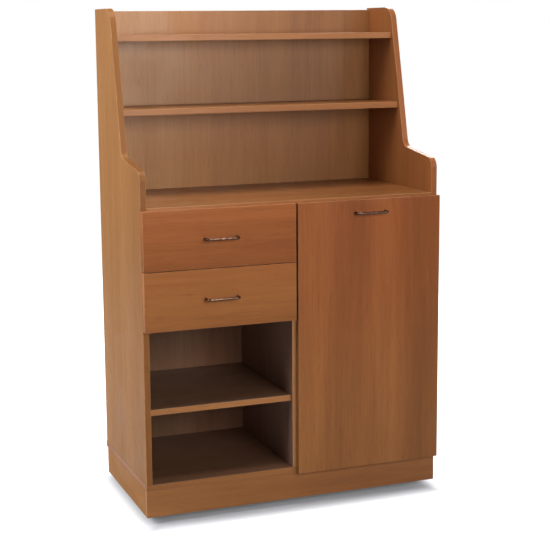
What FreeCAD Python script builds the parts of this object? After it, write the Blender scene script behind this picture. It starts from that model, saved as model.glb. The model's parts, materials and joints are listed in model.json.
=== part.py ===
# Waiter service station: a sideboard on castors, with two drawers, an open compartment,
# a tilt-out bin behind the tall front, and a hutch with two shelves.
# Millimetres. X runs to the right, Y to the back and Z up. The origin is on the floor,
# below the middle of the whole box. Every sub-part is first drawn with the carcass's
# front edges at Y = 0 and is moved to the origin when it is written.
import FreeCAD, Part
import math
import os

V = FreeCAD.Vector
RIGHT, BACK, UP = V(1, 0, 0), V(0, 1, 0), V(0, 0, 1)

# Boards and overall sizes
WIDTH = 925.0
CARCASS_DEPTH = 460.0
WORKTOP_HEIGHT = 921.0
HUTCH_HEIGHT = 554.0
BOARD = 18.0
EDGE_ROUND = 1.0
BOTTOM_BOARD_LIP = 8.0
PLINTH_HEIGHT = 80.0
PLINTH_SET_IN = 8.0
THIN_BACK = 8.0
THIN_BACK_SET_IN = 10.0
GROOVE_DEPTH = 8.0

# Upper outline of the side panels
NOSE_RISE = 101.0
NOSE_RADIUS = 30.0
STEP_RISE = 126.0
STEP_SET_BACK = 188.0
STEP_RADIUS = 30.0
TOP_DEPTH = 173.0
TOP_RADIUS = 50.0

# Hutch
HUTCH_BACK_DROP = 6.0
UPPER_SHELF_DROP = 78.0
SHELF_PITCH = 215.0
SHELF_SET_BACK = 11.0

# Open compartment
COMPARTMENT_SHELF_RISE = 220.0
COMPARTMENT_SHELF_SET_BACK = 10.0
SHELF_SIDE_PLAY = 1.0
SHELF_BACK_PLAY = 2.0
SHELF_PIN_DIAMETER = 5.0
SHELF_PIN_DEPTH = 10.0
SHELF_PIN_INSET = 50.0
SHELF_PIN_PITCH = 32.0
SHELF_PIN_STEPS = 3

# Fronts
FRONT_THICKNESS = 18.0
FRONT_GAP = 3.0
FRONT_DROP = 7.0
CENTRE_GAP = 6.0
DRAWER_FRONT_HEIGHT = 171.0
DRAWER_FRONT_GAP = 2.0
TALL_FRONT_RISE = 1.0

# Drawers and runners
DRAWER_SIDE = 12.0
DRAWER_BOTTOM = 6.0
DRAWER_BOTTOM_RISE = 12.0
DRAWER_GROOVE = 6.0
BAY_FLOOR_RISE = 3.0
BOX_FLOOR_CLEARANCE = 6.0
BOX_TOP_CLEARANCE = 24.0
BOX_OVERRUN = 10.0
RUNNER_STEP = 50.0
RUNNER_SET_BACK = 2.0
RUNNER_BACK_CLEARANCE = 10.0
RUNNER_HEIGHT = 45.0
RUNNER_THICKNESS = 12.7
RUNNER_SHEET = 1.2
BALL_GAP = 2.4

# Handles
HANDLE_CENTRES = 96.0
HANDLE_ROD = 8.0
HANDLE_PROJECTION = 28.0
HANDLE_BEND = 9.0
TALL_HANDLE_DROP = 38.0

# Tilt-out bin and its hinge
BIN_SIDE = 16.0
BIN_SIDE_CLEARANCE = 8.0
BIN_DEPTH = 330.0
BIN_BOTTOM_CLEARANCE = 8.0
BIN_TOP_CLEARANCE = 127.0
BIN_CORNER_RADIUS = 60.0
TILT_DEGREES = 25.0
HINGE_RISE = 4.0
HINGE_SHEET = 0.7
HINGE_PIN_DIAMETER = 1.5
HINGE_PIN_PLAY = 0.03
HINGE_SEGMENT = 20.0
HINGE_SEGMENT_PLAY = 0.2
HINGE_END_MARGIN = 8.0
FIXED_LEAF_WIDTH = 12.0
MOVING_LEAF_WIDTH = 18.0
STOP_PIN_DIAMETER = 8.0
STOP_PIN_SET_BACK = 60.0
STOP_PIN_DROP = 110.0
STOP_PIN_SOCKET = 10.0
STOP_SLOT_PLAY = 0.5
CATCH_WIDTH = 46.0
CATCH_DEPTH = 14.0
CATCH_HEIGHT = 16.0
CATCH_GAP = 0.3
STRIKE_THICKNESS = 2.0
STRIKE_WIDTH = 40.0
STRIKE_HEIGHT = 14.0

# Castors
CASTOR_HEIGHT = 100.0
CASTOR_SIDE_INSET = 167.0
CASTOR_PLINTH_CLEARANCE = 3.0
CASTOR_OFFSET = 27.0
WHEEL_TOP_CLEARANCE = 25.0
WHEEL_WIDTH = 24.0
WHEEL_HUB_WIDTH = 28.0
WHEEL_BEARING_PLAY = 0.05
AXLE_DIAMETER = 8.0
CASTOR_PLATE = 60.0
CASTOR_SHEET = 3.0
SWIVEL_RING_DIAMETER = 44.0
SWIVEL_RING_HEIGHT = 6.0
SWIVEL_PLAY = 0.1
KING_PIN_DIAMETER = 10.0
KING_PIN_PLAY = 0.05
KING_NUT_DIAMETER = 17.0
KING_NUT_HEIGHT = 5.0
# Which way each castor trails at rest, in degrees from +X towards +Y
CASTOR_TRAILS = {"front_left": -58.0, "front_right": -40.0, "rear_left": 118.0, "rear_right": 64.0}

# Fasteners: shank diameter, head diameter, head height
CHIPBOARD_SCREW = (4.0, 8.0, 2.4)
SMALL_SCREW = (3.0, 6.0, 1.8)
HINGE_SCREW = (2.0, 4.0, 0.6)
CONFIRMAT = (6.0, 10.0, 4.0)
HANDLE_SCREW = (4.0, 8.0, 2.4)
CONFIRMAT_LENGTH = 50.0
CAM_DIAMETER = 15.0
CAM_DEPTH = 12.5
CAM_DISTANCE = 34.0
CAM_BOLT_DIAMETER = 6.0
CAM_BOLT_SOCKET = 11.0
FIXING_INSET = 45.0
BRACKET_LEG = 36.0
BRACKET_WIDTH = 20.0
BRACKET_SHEET = 2.0
BRACKET_SCREW_REACH = 26.0
FASTENER_LENGTH_IN_BOARD = 13.0

# Levels and planes worked out from the sizes above
FLOOR_GAP = CASTOR_HEIGHT - PLINTH_HEIGHT
BOARD_UNDERSIDE = CASTOR_HEIGHT
BOTTOM_TOP = BOARD_UNDERSIDE + BOARD
WORKTOP_UNDERSIDE = WORKTOP_HEIGHT - BOARD
TOTAL_HEIGHT = WORKTOP_HEIGHT + HUTCH_HEIGHT
HALF_WIDTH = WIDTH / 2
INNER_HALF = HALF_WIDTH - BOARD
DIVIDER_HALF = BOARD / 2
THIN_BACK_FRONT = CARCASS_DEPTH - THIN_BACK_SET_IN - THIN_BACK
HUTCH_BACK_FRONT = CARCASS_DEPTH - BOARD
FRONT_BACK_FACE = -FRONT_GAP
FRONT_FACE = -FRONT_GAP - FRONT_THICKNESS
FRONT_TOP = WORKTOP_HEIGHT - FRONT_DROP
UPPER_FRONT_BOTTOM = FRONT_TOP - DRAWER_FRONT_HEIGHT
LOWER_FRONT_BOTTOM = UPPER_FRONT_BOTTOM - DRAWER_FRONT_GAP - DRAWER_FRONT_HEIGHT
TALL_FRONT_BOTTOM = BOARD_UNDERSIDE + TALL_FRONT_RISE
BAY_FLOOR_BOTTOM = LOWER_FRONT_BOTTOM + BAY_FLOOR_RISE
BAY_FLOOR_TOP = BAY_FLOOR_BOTTOM + BOARD
BOX_RISE = BAY_FLOOR_RISE + BOARD + BOX_FLOOR_CLEARANCE
BOX_HEIGHT = DRAWER_FRONT_HEIGHT - BOX_RISE - BOX_TOP_CLEARANCE
RUNNER_ROOM = THIN_BACK_FRONT - RUNNER_SET_BACK - BOX_OVERRUN - RUNNER_BACK_CLEARANCE
RUNNER_LENGTH = RUNNER_STEP * math.floor(RUNNER_ROOM / RUNNER_STEP)
BOX_LENGTH = RUNNER_LENGTH + BOX_OVERRUN
HINGE_Y = -FRONT_GAP / 2
HINGE_Z = TALL_FRONT_BOTTOM + HINGE_RISE
HINGE_BARREL = HINGE_PIN_DIAMETER / 2 + HINGE_SHEET
BIN_BOTTOM = BOTTOM_TOP + BIN_BOTTOM_CLEARANCE
BIN_TOP = WORKTOP_UNDERSIDE - BIN_TOP_CLEARANCE
WHEEL_RADIUS = (CASTOR_HEIGHT - WHEEL_TOP_CLEARANCE) / 2
SWIVEL_RADIUS = CASTOR_OFFSET + WHEEL_RADIUS
PLINTH_BACK = CARCASS_DEPTH - PLINTH_SET_IN
BOX_FRONT = FRONT_FACE - HANDLE_PROJECTION
BOX_BACK = CARCASS_DEPTH + BOTTOM_BOARD_LIP
TO_ORIGIN = V(0, -(BOX_FRONT + BOX_BACK) / 2, 0)


def block(x, y, z):
    """A box between two X, two Y and two Z planes."""
    return Part.makeBox(x[1] - x[0], y[1] - y[0], z[1] - z[0], V(x[0], y[0], z[0]))


def rod(diameter, start, end):
    """A round bar from one point to another."""
    along = end.sub(start)
    return Part.makeCylinder(diameter / 2, along.Length, start, along)


def softened(board, radius=EDGE_ROUND):
    """A board with every edge rounded over, as edge banding is trimmed."""
    return board.makeFillet(radius, board.Edges)


def mirrored(solid):
    """The same solid on the other side of the middle plane X = 0."""
    return solid.mirror(V(0, 0, 0), RIGHT)


def screw(kind, head_point, direction, length, sunk=True):
    """A screw whose head starts at a point on the surface and which points along a direction."""
    shank, head, head_height = kind
    way = V(direction).normalize()
    body = Part.makeCylinder(shank / 2, length, head_point, way)
    if sunk:
        top = Part.makeCone(head / 2, shank / 2, head_height, head_point, way)
    else:
        top = Part.makeCylinder(head / 2, head_height, head_point, way * -1)
    return body.fuse(top).removeSplitter()


def cam_joint(mouth, depth_way, bolt_way):
    """A cam in its hole and the bolt that it pulls on. mouth is the middle of the hole's mouth."""
    cam = Part.makeCylinder(CAM_DIAMETER / 2, CAM_DEPTH, mouth, depth_way)
    start = mouth + depth_way * (BOARD / 2)
    bolt = rod(CAM_BOLT_DIAMETER, start, start + bolt_way * (CAM_DISTANCE + CAM_BOLT_SOCKET))
    slot_across = depth_way.cross(bolt_way)
    slot_start = mouth - slot_across * 4 - bolt_way * 0.8
    slot = Part.makePolygon([
        slot_start, slot_start + slot_across * 8, slot_start + slot_across * 8 + bolt_way * 1.6,
        slot_start + bolt_way * 1.6, slot_start,
    ])
    slot = Part.Face(slot).extrude(depth_way * 2.5)
    return [cam.cut(slot), bolt.cut(cam)]


def drilled(board, fasteners):
    """A board with the holes that its fasteners need."""
    near = [f for f in fasteners if board.BoundBox.intersect(f.BoundBox)]
    return board.cut(near) if near else board


def rounded_outline(corners, x):
    """A closed wire in the plane of one X. corners are (y, z, radius), in order."""
    edges = []
    ends = []
    count = len(corners)
    for i, (y, z, radius) in enumerate(corners):
        here = V(x, y, z)
        before = V(x, *corners[i - 1][:2]).sub(here).normalize()
        after = V(x, *corners[(i + 1) % count][:2]).sub(here).normalize()
        if radius == 0:
            ends.append((here, here))
            continue
        half = before.getAngle(after) / 2
        reach = radius / math.tan(half)
        start, end = here + before * reach, here + after * reach
        middle_way = (before + after).normalize()
        middle = here + middle_way * (radius / math.sin(half) - radius)
        ends.append((start, end))
        edges.append((i, Part.Arc(start, middle, end).toShape()))
    arcs = dict(edges)
    path = []
    for i in range(count):
        if i in arcs:
            path.append(arcs[i])
        path.append(Part.LineSegment(ends[i][1], ends[(i + 1) % count][0]).toShape())
    return Part.Wire(path)


def slanted_edge(height):
    """Where the slanted front edge of the side panels stands at a height."""
    low, high = WORKTOP_HEIGHT + STEP_RISE, TOTAL_HEIGHT
    share = (height - low) / (high - low)
    return STEP_SET_BACK + share * (CARCASS_DEPTH - TOP_DEPTH - STEP_SET_BACK)


# ---------------------------------------------------------------- carcass
def side_panel():
    """The left side panel, on its own, before it is drilled."""
    corners = [
        (0, BOTTOM_TOP, 0),
        (0, WORKTOP_HEIGHT + NOSE_RISE, NOSE_RADIUS),
        (STEP_SET_BACK, WORKTOP_HEIGHT + STEP_RISE, STEP_RADIUS),
        (CARCASS_DEPTH - TOP_DEPTH, TOTAL_HEIGHT, TOP_RADIUS),
        (CARCASS_DEPTH, TOTAL_HEIGHT, 0),
        (CARCASS_DEPTH, BOTTOM_TOP, 0),
    ]
    panel = Part.Face(rounded_outline(corners, -HALF_WIDTH)).extrude(RIGHT * BOARD)
    groove = block(
        (-INNER_HALF - GROOVE_DEPTH, -INNER_HALF),
        (THIN_BACK_FRONT, THIN_BACK_FRONT + THIN_BACK),
        (BOTTOM_TOP, WORKTOP_UNDERSIDE),
    )
    return softened(panel).cut(groove)


def shelf_heights():
    """The top faces of the upper and lower hutch shelves."""
    upper = TOTAL_HEIGHT - UPPER_SHELF_DROP
    return upper, upper - SHELF_PITCH


def hutch_shelf(top):
    return softened(block(
        (-INNER_HALF, INNER_HALF),
        (slanted_edge(top) + SHELF_SET_BACK, HUTCH_BACK_FRONT),
        (top - BOARD, top),
    ))


def shelf_pin_holes():
    """The rows of holes that the compartment shelf's height is chosen from."""
    holes = []
    for y in shelf_pin_places():
        for step in range(-SHELF_PIN_STEPS, SHELF_PIN_STEPS + 1):
            z = shelf_pin_level() + step * SHELF_PIN_PITCH
            for x, way in ((-INNER_HALF, -1), (-DIVIDER_HALF, 1)):
                end = V(x + way * SHELF_PIN_DEPTH, y, z)
                holes.append(rod(SHELF_PIN_DIAMETER, V(x, y, z), end))
    return holes


def shelf_pin_places():
    return SHELF_PIN_INSET, THIN_BACK_FRONT - SHELF_PIN_INSET


def shelf_pin_level():
    return BOTTOM_TOP + COMPARTMENT_SHELF_RISE - BOARD - SHELF_PIN_DIAMETER / 2


def shelf_pins():
    """The four pins under the compartment shelf."""
    pins = []
    for y in shelf_pin_places():
        for x, way in ((-INNER_HALF, 1), (-DIVIDER_HALF, -1)):
            start = V(x - way * SHELF_PIN_DEPTH, y, shelf_pin_level())
            pins.append(rod(SHELF_PIN_DIAMETER, start, start + RIGHT * (way * 2 * SHELF_PIN_DEPTH)))
    return pins


def compartment_shelf():
    top = BOTTOM_TOP + COMPARTMENT_SHELF_RISE
    return softened(block(
        (-INNER_HALF + SHELF_SIDE_PLAY, -DIVIDER_HALF - SHELF_SIDE_PLAY),
        (COMPARTMENT_SHELF_SET_BACK, THIN_BACK_FRONT - SHELF_BACK_PLAY),
        (top - BOARD, top),
    ))


def cam_fittings():
    """The cams and bolts that pull the level boards against the upright ones."""
    fittings = []
    upper, lower = shelf_heights()
    inset = CAM_DISTANCE
    level_boards = [
        (WORKTOP_UNDERSIDE, 0, HUTCH_BACK_FRONT, (-INNER_HALF, INNER_HALF)),
        (upper - BOARD, slanted_edge(upper) + SHELF_SET_BACK, HUTCH_BACK_FRONT, (-INNER_HALF, INNER_HALF)),
        (lower - BOARD, slanted_edge(lower) + SHELF_SET_BACK, HUTCH_BACK_FRONT, (-INNER_HALF, INNER_HALF)),
        (BAY_FLOOR_BOTTOM, 0, THIN_BACK_FRONT, (-INNER_HALF, -DIVIDER_HALF)),
    ]
    for underside, front, back, (left, right) in level_boards:
        for y in (front + FIXING_INSET, back - FIXING_INSET):
            fittings += cam_joint(V(left + inset, y, underside), UP, RIGHT * -1)
            fittings += cam_joint(V(right - inset, y, underside), UP, RIGHT)
    for y in (FIXING_INSET, THIN_BACK_FRONT - FIXING_INSET):
        mouth = V(DIVIDER_HALF, y, WORKTOP_UNDERSIDE - inset)
        fittings += cam_joint(mouth, RIGHT * -1, UP)
    return fittings


def carcass_screws():
    """Every screw of the carcass that isn't a cam."""
    screws = []
    rows = (FIXING_INSET, THIN_BACK_FRONT / 2, THIN_BACK_FRONT - FIXING_INSET)
    upright = (-HALF_WIDTH + BOARD / 2, 0, HALF_WIDTH - BOARD / 2)
    for x in upright:
        for y in rows:
            screws.append(screw(CONFIRMAT, V(x, y, BOARD_UNDERSIDE), UP, CONFIRMAT_LENGTH))
    across = (-INNER_HALF + FIXING_INSET, 0, INNER_HALF - FIXING_INSET)
    for x in across:
        for top in (*shelf_heights(), WORKTOP_HEIGHT):
            head = V(x, CARCASS_DEPTH, top - BOARD / 2)
            screws.append(screw(CHIPBOARD_SCREW, head, BACK * -1, 2 * BOARD))
    for share in (0.1, 0.5, 0.9):
        z = BOTTOM_TOP + share * (WORKTOP_UNDERSIDE - BOTTOM_TOP)
        head = V(0, THIN_BACK_FRONT + THIN_BACK, z)
        screws.append(screw(CHIPBOARD_SCREW, head, BACK * -1, THIN_BACK + BOARD))
    return screws + plinth_screws() + castor_plate_screws() + cabinet_runner_screws() + fixed_leaf_screws()


# ---------------------------------------------------------------- plinth
def plinth_boards():
    """The four boards of the plinth, front, rear, left and right."""
    level = (FLOOR_GAP, BOARD_UNDERSIDE)
    full = (-HALF_WIDTH, HALF_WIDTH)
    between = (BOARD, PLINTH_BACK - BOARD)
    left = softened(block((-HALF_WIDTH, -INNER_HALF), between, level))
    return {
        "plinth_front": softened(block(full, (0, BOARD), level)),
        "plinth_rear": softened(block(full, (PLINTH_BACK - BOARD, PLINTH_BACK), level)),
        "plinth_left": left,
        "plinth_right": mirrored(left),
    }


def bracket_places():
    """Where each angle bracket sits on the plinth: its corner and the way into the plinth."""
    places = []
    for x in (-INNER_HALF / 3, INNER_HALF / 3):
        places.append((V(x, BOARD, BOARD_UNDERSIDE), BACK))
        places.append((V(x, PLINTH_BACK - BOARD, BOARD_UNDERSIDE), BACK * -1))
    middle = PLINTH_BACK / 2
    places.append((V(-INNER_HALF, middle, BOARD_UNDERSIDE), RIGHT))
    places.append((V(INNER_HALF, middle, BOARD_UNDERSIDE), RIGHT * -1))
    return places


def plinth_brackets():
    """Steel angle brackets that hold the plinth under the bottom board."""
    brackets = []
    for corner, inward in bracket_places():
        along = inward.cross(UP)
        profile = Part.makePolygon([
            corner,
            corner + inward * BRACKET_LEG,
            corner + inward * BRACKET_LEG - UP * BRACKET_SHEET,
            corner + inward * BRACKET_SHEET - UP * BRACKET_SHEET,
            corner + inward * BRACKET_SHEET - UP * BRACKET_LEG,
            corner - UP * BRACKET_LEG,
            corner,
        ])
        profile.translate(along * (-BRACKET_WIDTH / 2))
        brackets.append(Part.Face(profile).extrude(along * BRACKET_WIDTH))
    return brackets


def plinth_screws():
    screws = []
    for corner, inward in bracket_places():
        under = corner + inward * BRACKET_SCREW_REACH - UP * BRACKET_SHEET
        beside = corner + inward * BRACKET_SHEET - UP * BRACKET_SCREW_REACH
        length = BRACKET_SHEET + FASTENER_LENGTH_IN_BOARD
        screws.append(screw(CHIPBOARD_SCREW, under, UP, length, sunk=False))
        screws.append(screw(CHIPBOARD_SCREW, beside, inward * -1, length, sunk=False))
    return screws


# ---------------------------------------------------------------- castors
def castor_places():
    """The swivel axis of each castor at the underside of the bottom board."""
    x = HALF_WIDTH - CASTOR_SIDE_INSET
    inset = BOARD + SWIVEL_RADIUS + CASTOR_PLINTH_CLEARANCE
    front, rear = inset, PLINTH_BACK - inset
    return {
        "front_left": V(-x, front, BOARD_UNDERSIDE),
        "front_right": V(x, front, BOARD_UNDERSIDE),
        "rear_left": V(-x, rear, BOARD_UNDERSIDE),
        "rear_right": V(x, rear, BOARD_UNDERSIDE),
    }


def castor_levels():
    """The undersides of the plate, the swivel ring and the fork's crown, below the bottom board."""
    plate = CASTOR_SHEET
    ring = plate + SWIVEL_RING_HEIGHT
    crown = ring + SWIVEL_PLAY + CASTOR_SHEET
    return plate, ring, crown


def castor_plate(place):
    """The fixed half of a castor: plate, swivel ring, king pin and its nut."""
    plate_under, ring_under, crown_under = castor_levels()
    half = CASTOR_PLATE / 2
    plate = block(
        (place.x - half, place.x + half), (place.y - half, place.y + half),
        (place.z - plate_under, place.z),
    )
    upright = [e for e in plate.Edges if abs(e.tangentAt(e.FirstParameter).z) > 0.9]
    plate = plate.makeFillet(6, upright)
    ring = rod(SWIVEL_RING_DIAMETER, place - UP * plate_under, place - UP * ring_under)
    nut_top = crown_under + SWIVEL_PLAY
    pin = rod(KING_PIN_DIAMETER, place - UP * ring_under, place - UP * (nut_top + KING_NUT_HEIGHT))
    nut = rod(KING_NUT_DIAMETER, place - UP * nut_top, place - UP * (nut_top + KING_NUT_HEIGHT))
    return plate.fuse([ring, pin, nut]).removeSplitter()


def castor_plate_screws():
    screws = []
    reach = CASTOR_PLATE / 2 - 8
    for place in castor_places().values():
        for x in (-reach, reach):
            for y in (-reach, reach):
                head = place + V(x, y, -CASTOR_SHEET)
                length = CASTOR_SHEET + FASTENER_LENGTH_IN_BOARD
                screws.append(screw(CHIPBOARD_SCREW, head, UP, length, sunk=False))
    return screws


def castor_fork():
    """The swivelling fork, with its swivel axis on Z and its axle behind it along +X."""
    crown_top = -(castor_levels()[1] + SWIVEL_PLAY)
    crown_under = crown_top - CASTOR_SHEET
    axle_z = WHEEL_RADIUS - BOARD_UNDERSIDE
    inner = WHEEL_HUB_WIDTH / 2 + 0.5
    outer = inner + CASTOR_SHEET
    crown = rod(2 * outer + 10, V(0, 0, crown_under), V(0, 0, crown_top))
    leg_outline = Part.makePolygon([
        V(-outer - 5, 0, crown_top), V(outer + 5, 0, crown_top),
        V(CASTOR_OFFSET + 11, 0, axle_z), V(CASTOR_OFFSET - 11, 0, axle_z - 3),
        V(-outer - 5, 0, crown_under - 8), V(-outer - 5, 0, crown_top),
    ])
    boss = Part.makeCylinder(11, CASTOR_SHEET, V(CASTOR_OFFSET, 0, axle_z), BACK)
    leg = Part.Face(leg_outline).extrude(BACK * CASTOR_SHEET).fuse(boss)
    near, far = leg.copy(), leg.copy()
    near.translate(BACK * -outer)
    far.translate(BACK * inner)
    bridge = block((-outer - 5, outer + 5), (-outer, outer), (crown_under, crown_top))
    hole = rod(KING_PIN_DIAMETER + 2 * KING_PIN_PLAY, V(0, 0, crown_under - 1), V(0, 0, crown_top + 1))
    axle_hole = castor_axle_rod(outer + 1)
    return crown.fuse([bridge, near, far]).removeSplitter().cut([hole, axle_hole])


def castor_axle_rod(half_length):
    axle_z = WHEEL_RADIUS - BOARD_UNDERSIDE
    return rod(AXLE_DIAMETER, V(CASTOR_OFFSET, -half_length, axle_z), V(CASTOR_OFFSET, half_length, axle_z))


def castor_axle():
    """The axle bolt with its head and nut."""
    outer = WHEEL_HUB_WIDTH / 2 + 0.5 + CASTOR_SHEET
    axle_z = WHEEL_RADIUS - BOARD_UNDERSIDE
    ends = []
    for side in (-1, 1):
        hexagon = Part.makePolygon([
            V(CASTOR_OFFSET + 7 * math.cos(math.radians(60 * k)), side * outer,
              axle_z + 7 * math.sin(math.radians(60 * k)))
            for k in range(7)
        ])
        ends.append(Part.Face(hexagon).extrude(BACK * (side * 5)))
    return castor_axle_rod(outer + 6).fuse(ends).removeSplitter()


def castor_wheel():
    """The wheel with its tyre, on the axle, turned from its half section."""
    axle_z = WHEEL_RADIUS - BOARD_UNDERSIDE
    bore = AXLE_DIAMETER / 2 + WHEEL_BEARING_PLAY
    hub, half, rim = WHEEL_HUB_WIDTH / 2, WHEEL_WIDTH / 2, WHEEL_RADIUS
    section = [
        (bore, -hub), (bore + 7, -hub), (bore + 8, -half / 2), (rim - 11, -half / 2),
        (rim - 9, -half), (rim - 3, -half), (rim, -half + 5), (rim, half - 5),
        (rim - 3, half), (rim - 9, half), (rim - 11, half / 2), (bore + 8, half / 2),
        (bore + 7, hub), (bore, hub),
    ]
    outline = [V(CASTOR_OFFSET, along, axle_z + out) for out, along in section]
    face = Part.Face(Part.makePolygon(outline + outline[:1]))
    return face.revolve(V(CASTOR_OFFSET, 0, axle_z), BACK, 360)


def placed_castor(solid, corner):
    """A copy of a castor's solid under its corner, trailing the way that this castor does."""
    copy = solid.copy()
    copy.rotate(V(0, 0, 0), UP, CASTOR_TRAILS[corner])
    copy.translate(castor_places()[corner])
    return copy


# ---------------------------------------------------------------- runners
def channel(web, flange_end, half_height, y):
    """A rolled channel beside the panel face X = 0: its web's two X planes and where its flanges end."""
    web_solid = block(web, y, (-half_height, half_height))
    across = (min(web[0], flange_end), max(web[1], flange_end))
    top = block(across, y, (half_height - RUNNER_SHEET, half_height))
    bottom = block(across, y, (-half_height, RUNNER_SHEET - half_height))
    return web_solid.fuse([top, bottom]).removeSplitter()


def runner_members():
    """The cabinet, middle and drawer members of a left-hand runner, on the panel face X = 0."""
    y = (RUNNER_SET_BACK, RUNNER_SET_BACK + RUNNER_LENGTH)
    half = RUNNER_HEIGHT / 2
    nest = RUNNER_SHEET + BALL_GAP
    cabinet = channel((0, RUNNER_SHEET), 9.6, half, y)
    middle = channel((2.4, 2.4 + RUNNER_SHEET), 11.0, half - nest, y)
    inner_web = (RUNNER_THICKNESS - RUNNER_SHEET, RUNNER_THICKNESS)
    drawer = channel(inner_web, 5.0, half - 2 * nest, y)
    return cabinet, middle, drawer


def runner_level(front_bottom):
    return front_bottom + BOX_RISE + BOX_HEIGHT / 2


def both_sides(solid, level):
    """A left-hand runner piece in the drawer bay, and its mirror image on the divider."""
    left = solid.copy()
    left.translate(V(-INNER_HALF, 0, level))
    right = mirrored(solid)
    right.translate(V(-DIVIDER_HALF, 0, level))
    return [left, right]


def cabinet_runner_screws():
    screws = []
    for front_bottom in (UPPER_FRONT_BOTTOM, LOWER_FRONT_BOTTOM):
        for share in (0.1, 0.5, 0.9):
            head = V(RUNNER_SHEET, RUNNER_SET_BACK + share * RUNNER_LENGTH, 0)
            sample = screw(SMALL_SCREW, head, RIGHT * -1, BOARD / 2)
            screws += both_sides(sample, runner_level(front_bottom))
    return screws


# ---------------------------------------------------------------- handles
def handle(middle):
    """A bent rod handle. middle is the point on the front's face between its two feet."""
    reach = HANDLE_PROJECTION - HANDLE_ROD / 2
    half = HANDLE_CENTRES / 2
    r = HANDLE_BEND
    diagonal = r * (1 - math.sqrt(0.5))
    left, right = middle - RIGHT * half, middle + RIGHT * half
    out = BACK * -1
    path = Part.Wire([
        Part.LineSegment(left, left + out * (reach - r)).toShape(),
        Part.Arc(left + out * (reach - r), left + out * (reach - diagonal) + RIGHT * diagonal,
                 left + out * reach + RIGHT * r).toShape(),
        Part.LineSegment(left + out * reach + RIGHT * r, right + out * reach - RIGHT * r).toShape(),
        Part.Arc(right + out * reach - RIGHT * r, right + out * (reach - diagonal) - RIGHT * diagonal,
                 right + out * (reach - r)).toShape(),
        Part.LineSegment(right + out * (reach - r), right).toShape(),
    ])
    profile = Part.Wire(Part.makeCircle(HANDLE_ROD / 2, left, out))
    return path.makePipeShell([profile], True, False)


def handle_screws(middle):
    """The two machine screws that hold a handle from behind the front."""
    screws = []
    for side in (-1, 1):
        foot = middle + RIGHT * (side * HANDLE_CENTRES / 2)
        head = foot + BACK * FRONT_THICKNESS
        screws.append(screw(HANDLE_SCREW, head, BACK * -1, FRONT_THICKNESS + 7, sunk=False))
    return screws


# ---------------------------------------------------------------- drawers
def drawer(name, front_bottom):
    """One drawer: its front, four-sided box, handle, fixings and runner members, by node name."""
    left, right = -HALF_WIDTH, -CENTRE_GAP / 2
    box_left = -INNER_HALF + RUNNER_THICKNESS
    box_right = -DIVIDER_HALF - RUNNER_THICKNESS
    bottom = front_bottom + BOX_RISE
    top = bottom + BOX_HEIGHT
    start, end = FRONT_BACK_FACE, FRONT_BACK_FACE + BOX_LENGTH
    level = runner_level(front_bottom)
    panel_z = (bottom + DRAWER_BOTTOM_RISE, bottom + DRAWER_BOTTOM_RISE + DRAWER_BOTTOM)

    front = softened(block((left, right), (FRONT_FACE, FRONT_BACK_FACE),
                           (front_bottom, front_bottom + DRAWER_FRONT_HEIGHT)))
    side = block((box_left, box_left + DRAWER_SIDE), (start, end), (bottom, top))
    other = block((box_right - DRAWER_SIDE, box_right), (start, end), (bottom, top))
    inner_left, inner_right = box_left + DRAWER_SIDE, box_right - DRAWER_SIDE
    panel = block((inner_left - DRAWER_GROOVE, inner_right + DRAWER_GROOVE), (start, end), panel_z)
    rear = block((inner_left, inner_right), (end - DRAWER_SIDE, end), (panel_z[1], top))

    middle = V((left + right) / 2, FRONT_FACE, front_bottom + DRAWER_FRONT_HEIGHT / 2)
    fixings = handle_screws(middle)
    for z in (bottom + BOX_HEIGHT / 3, top - BOX_HEIGHT / 4):
        for x, way in ((box_left, 1), (box_right, -1)):
            head = V(x, end - DRAWER_SIDE / 2, z)
            fixings.append(screw(SMALL_SCREW, head, RIGHT * way, 2.5 * DRAWER_SIDE))
            foot = V(x + way * DRAWER_SIDE / 2, start, z)
            fixings.append(rod(CAM_BOLT_DIAMETER, foot - BACK * CAM_BOLT_SOCKET, foot + BACK * 24))
    for share in (0.1, 0.5, 0.9):
        head = V(RUNNER_THICKNESS - RUNNER_SHEET, RUNNER_SET_BACK + share * RUNNER_LENGTH, 0)
        fixings += both_sides(screw(SMALL_SCREW, head, RIGHT, 0.8 * DRAWER_SIDE), level)

    members = runner_members()
    return {
        f"{name}_front": [drilled(front, fixings)],
        f"{name}_side_left": [drilled(side.cut(panel), fixings)],
        f"{name}_side_right": [drilled(other.cut(panel), fixings)],
        f"{name}_rear": [drilled(rear, fixings)],
        f"{name}_bottom": [panel],
        f"{name}_handle": [drilled(handle(middle), fixings)],
        f"{name}_fixings": fixings,
        f"{name}_runner_inner": [drilled(m, fixings) for m in both_sides(members[2], level)],
        f"{name}_runner_middle": both_sides(members[1], level),
    }


# ---------------------------------------------------------------- tilt-out bin
def bin_span():
    """The outer faces of the bin's two sides."""
    return DIVIDER_HALF + BIN_SIDE_CLEARANCE, INNER_HALF - BIN_SIDE_CLEARANCE


def about_hinge(y, z):
    """The radius of a point about the hinge, and its angle back from straight up, in degrees."""
    return math.hypot(y - HINGE_Y, z - HINGE_Z), math.degrees(math.atan2(y - HINGE_Y, z - HINGE_Z))


def at_hinge_angle(x, radius, degrees):
    angle = math.radians(degrees)
    return V(x, HINGE_Y + radius * math.sin(angle), HINGE_Z + radius * math.cos(angle))


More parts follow.
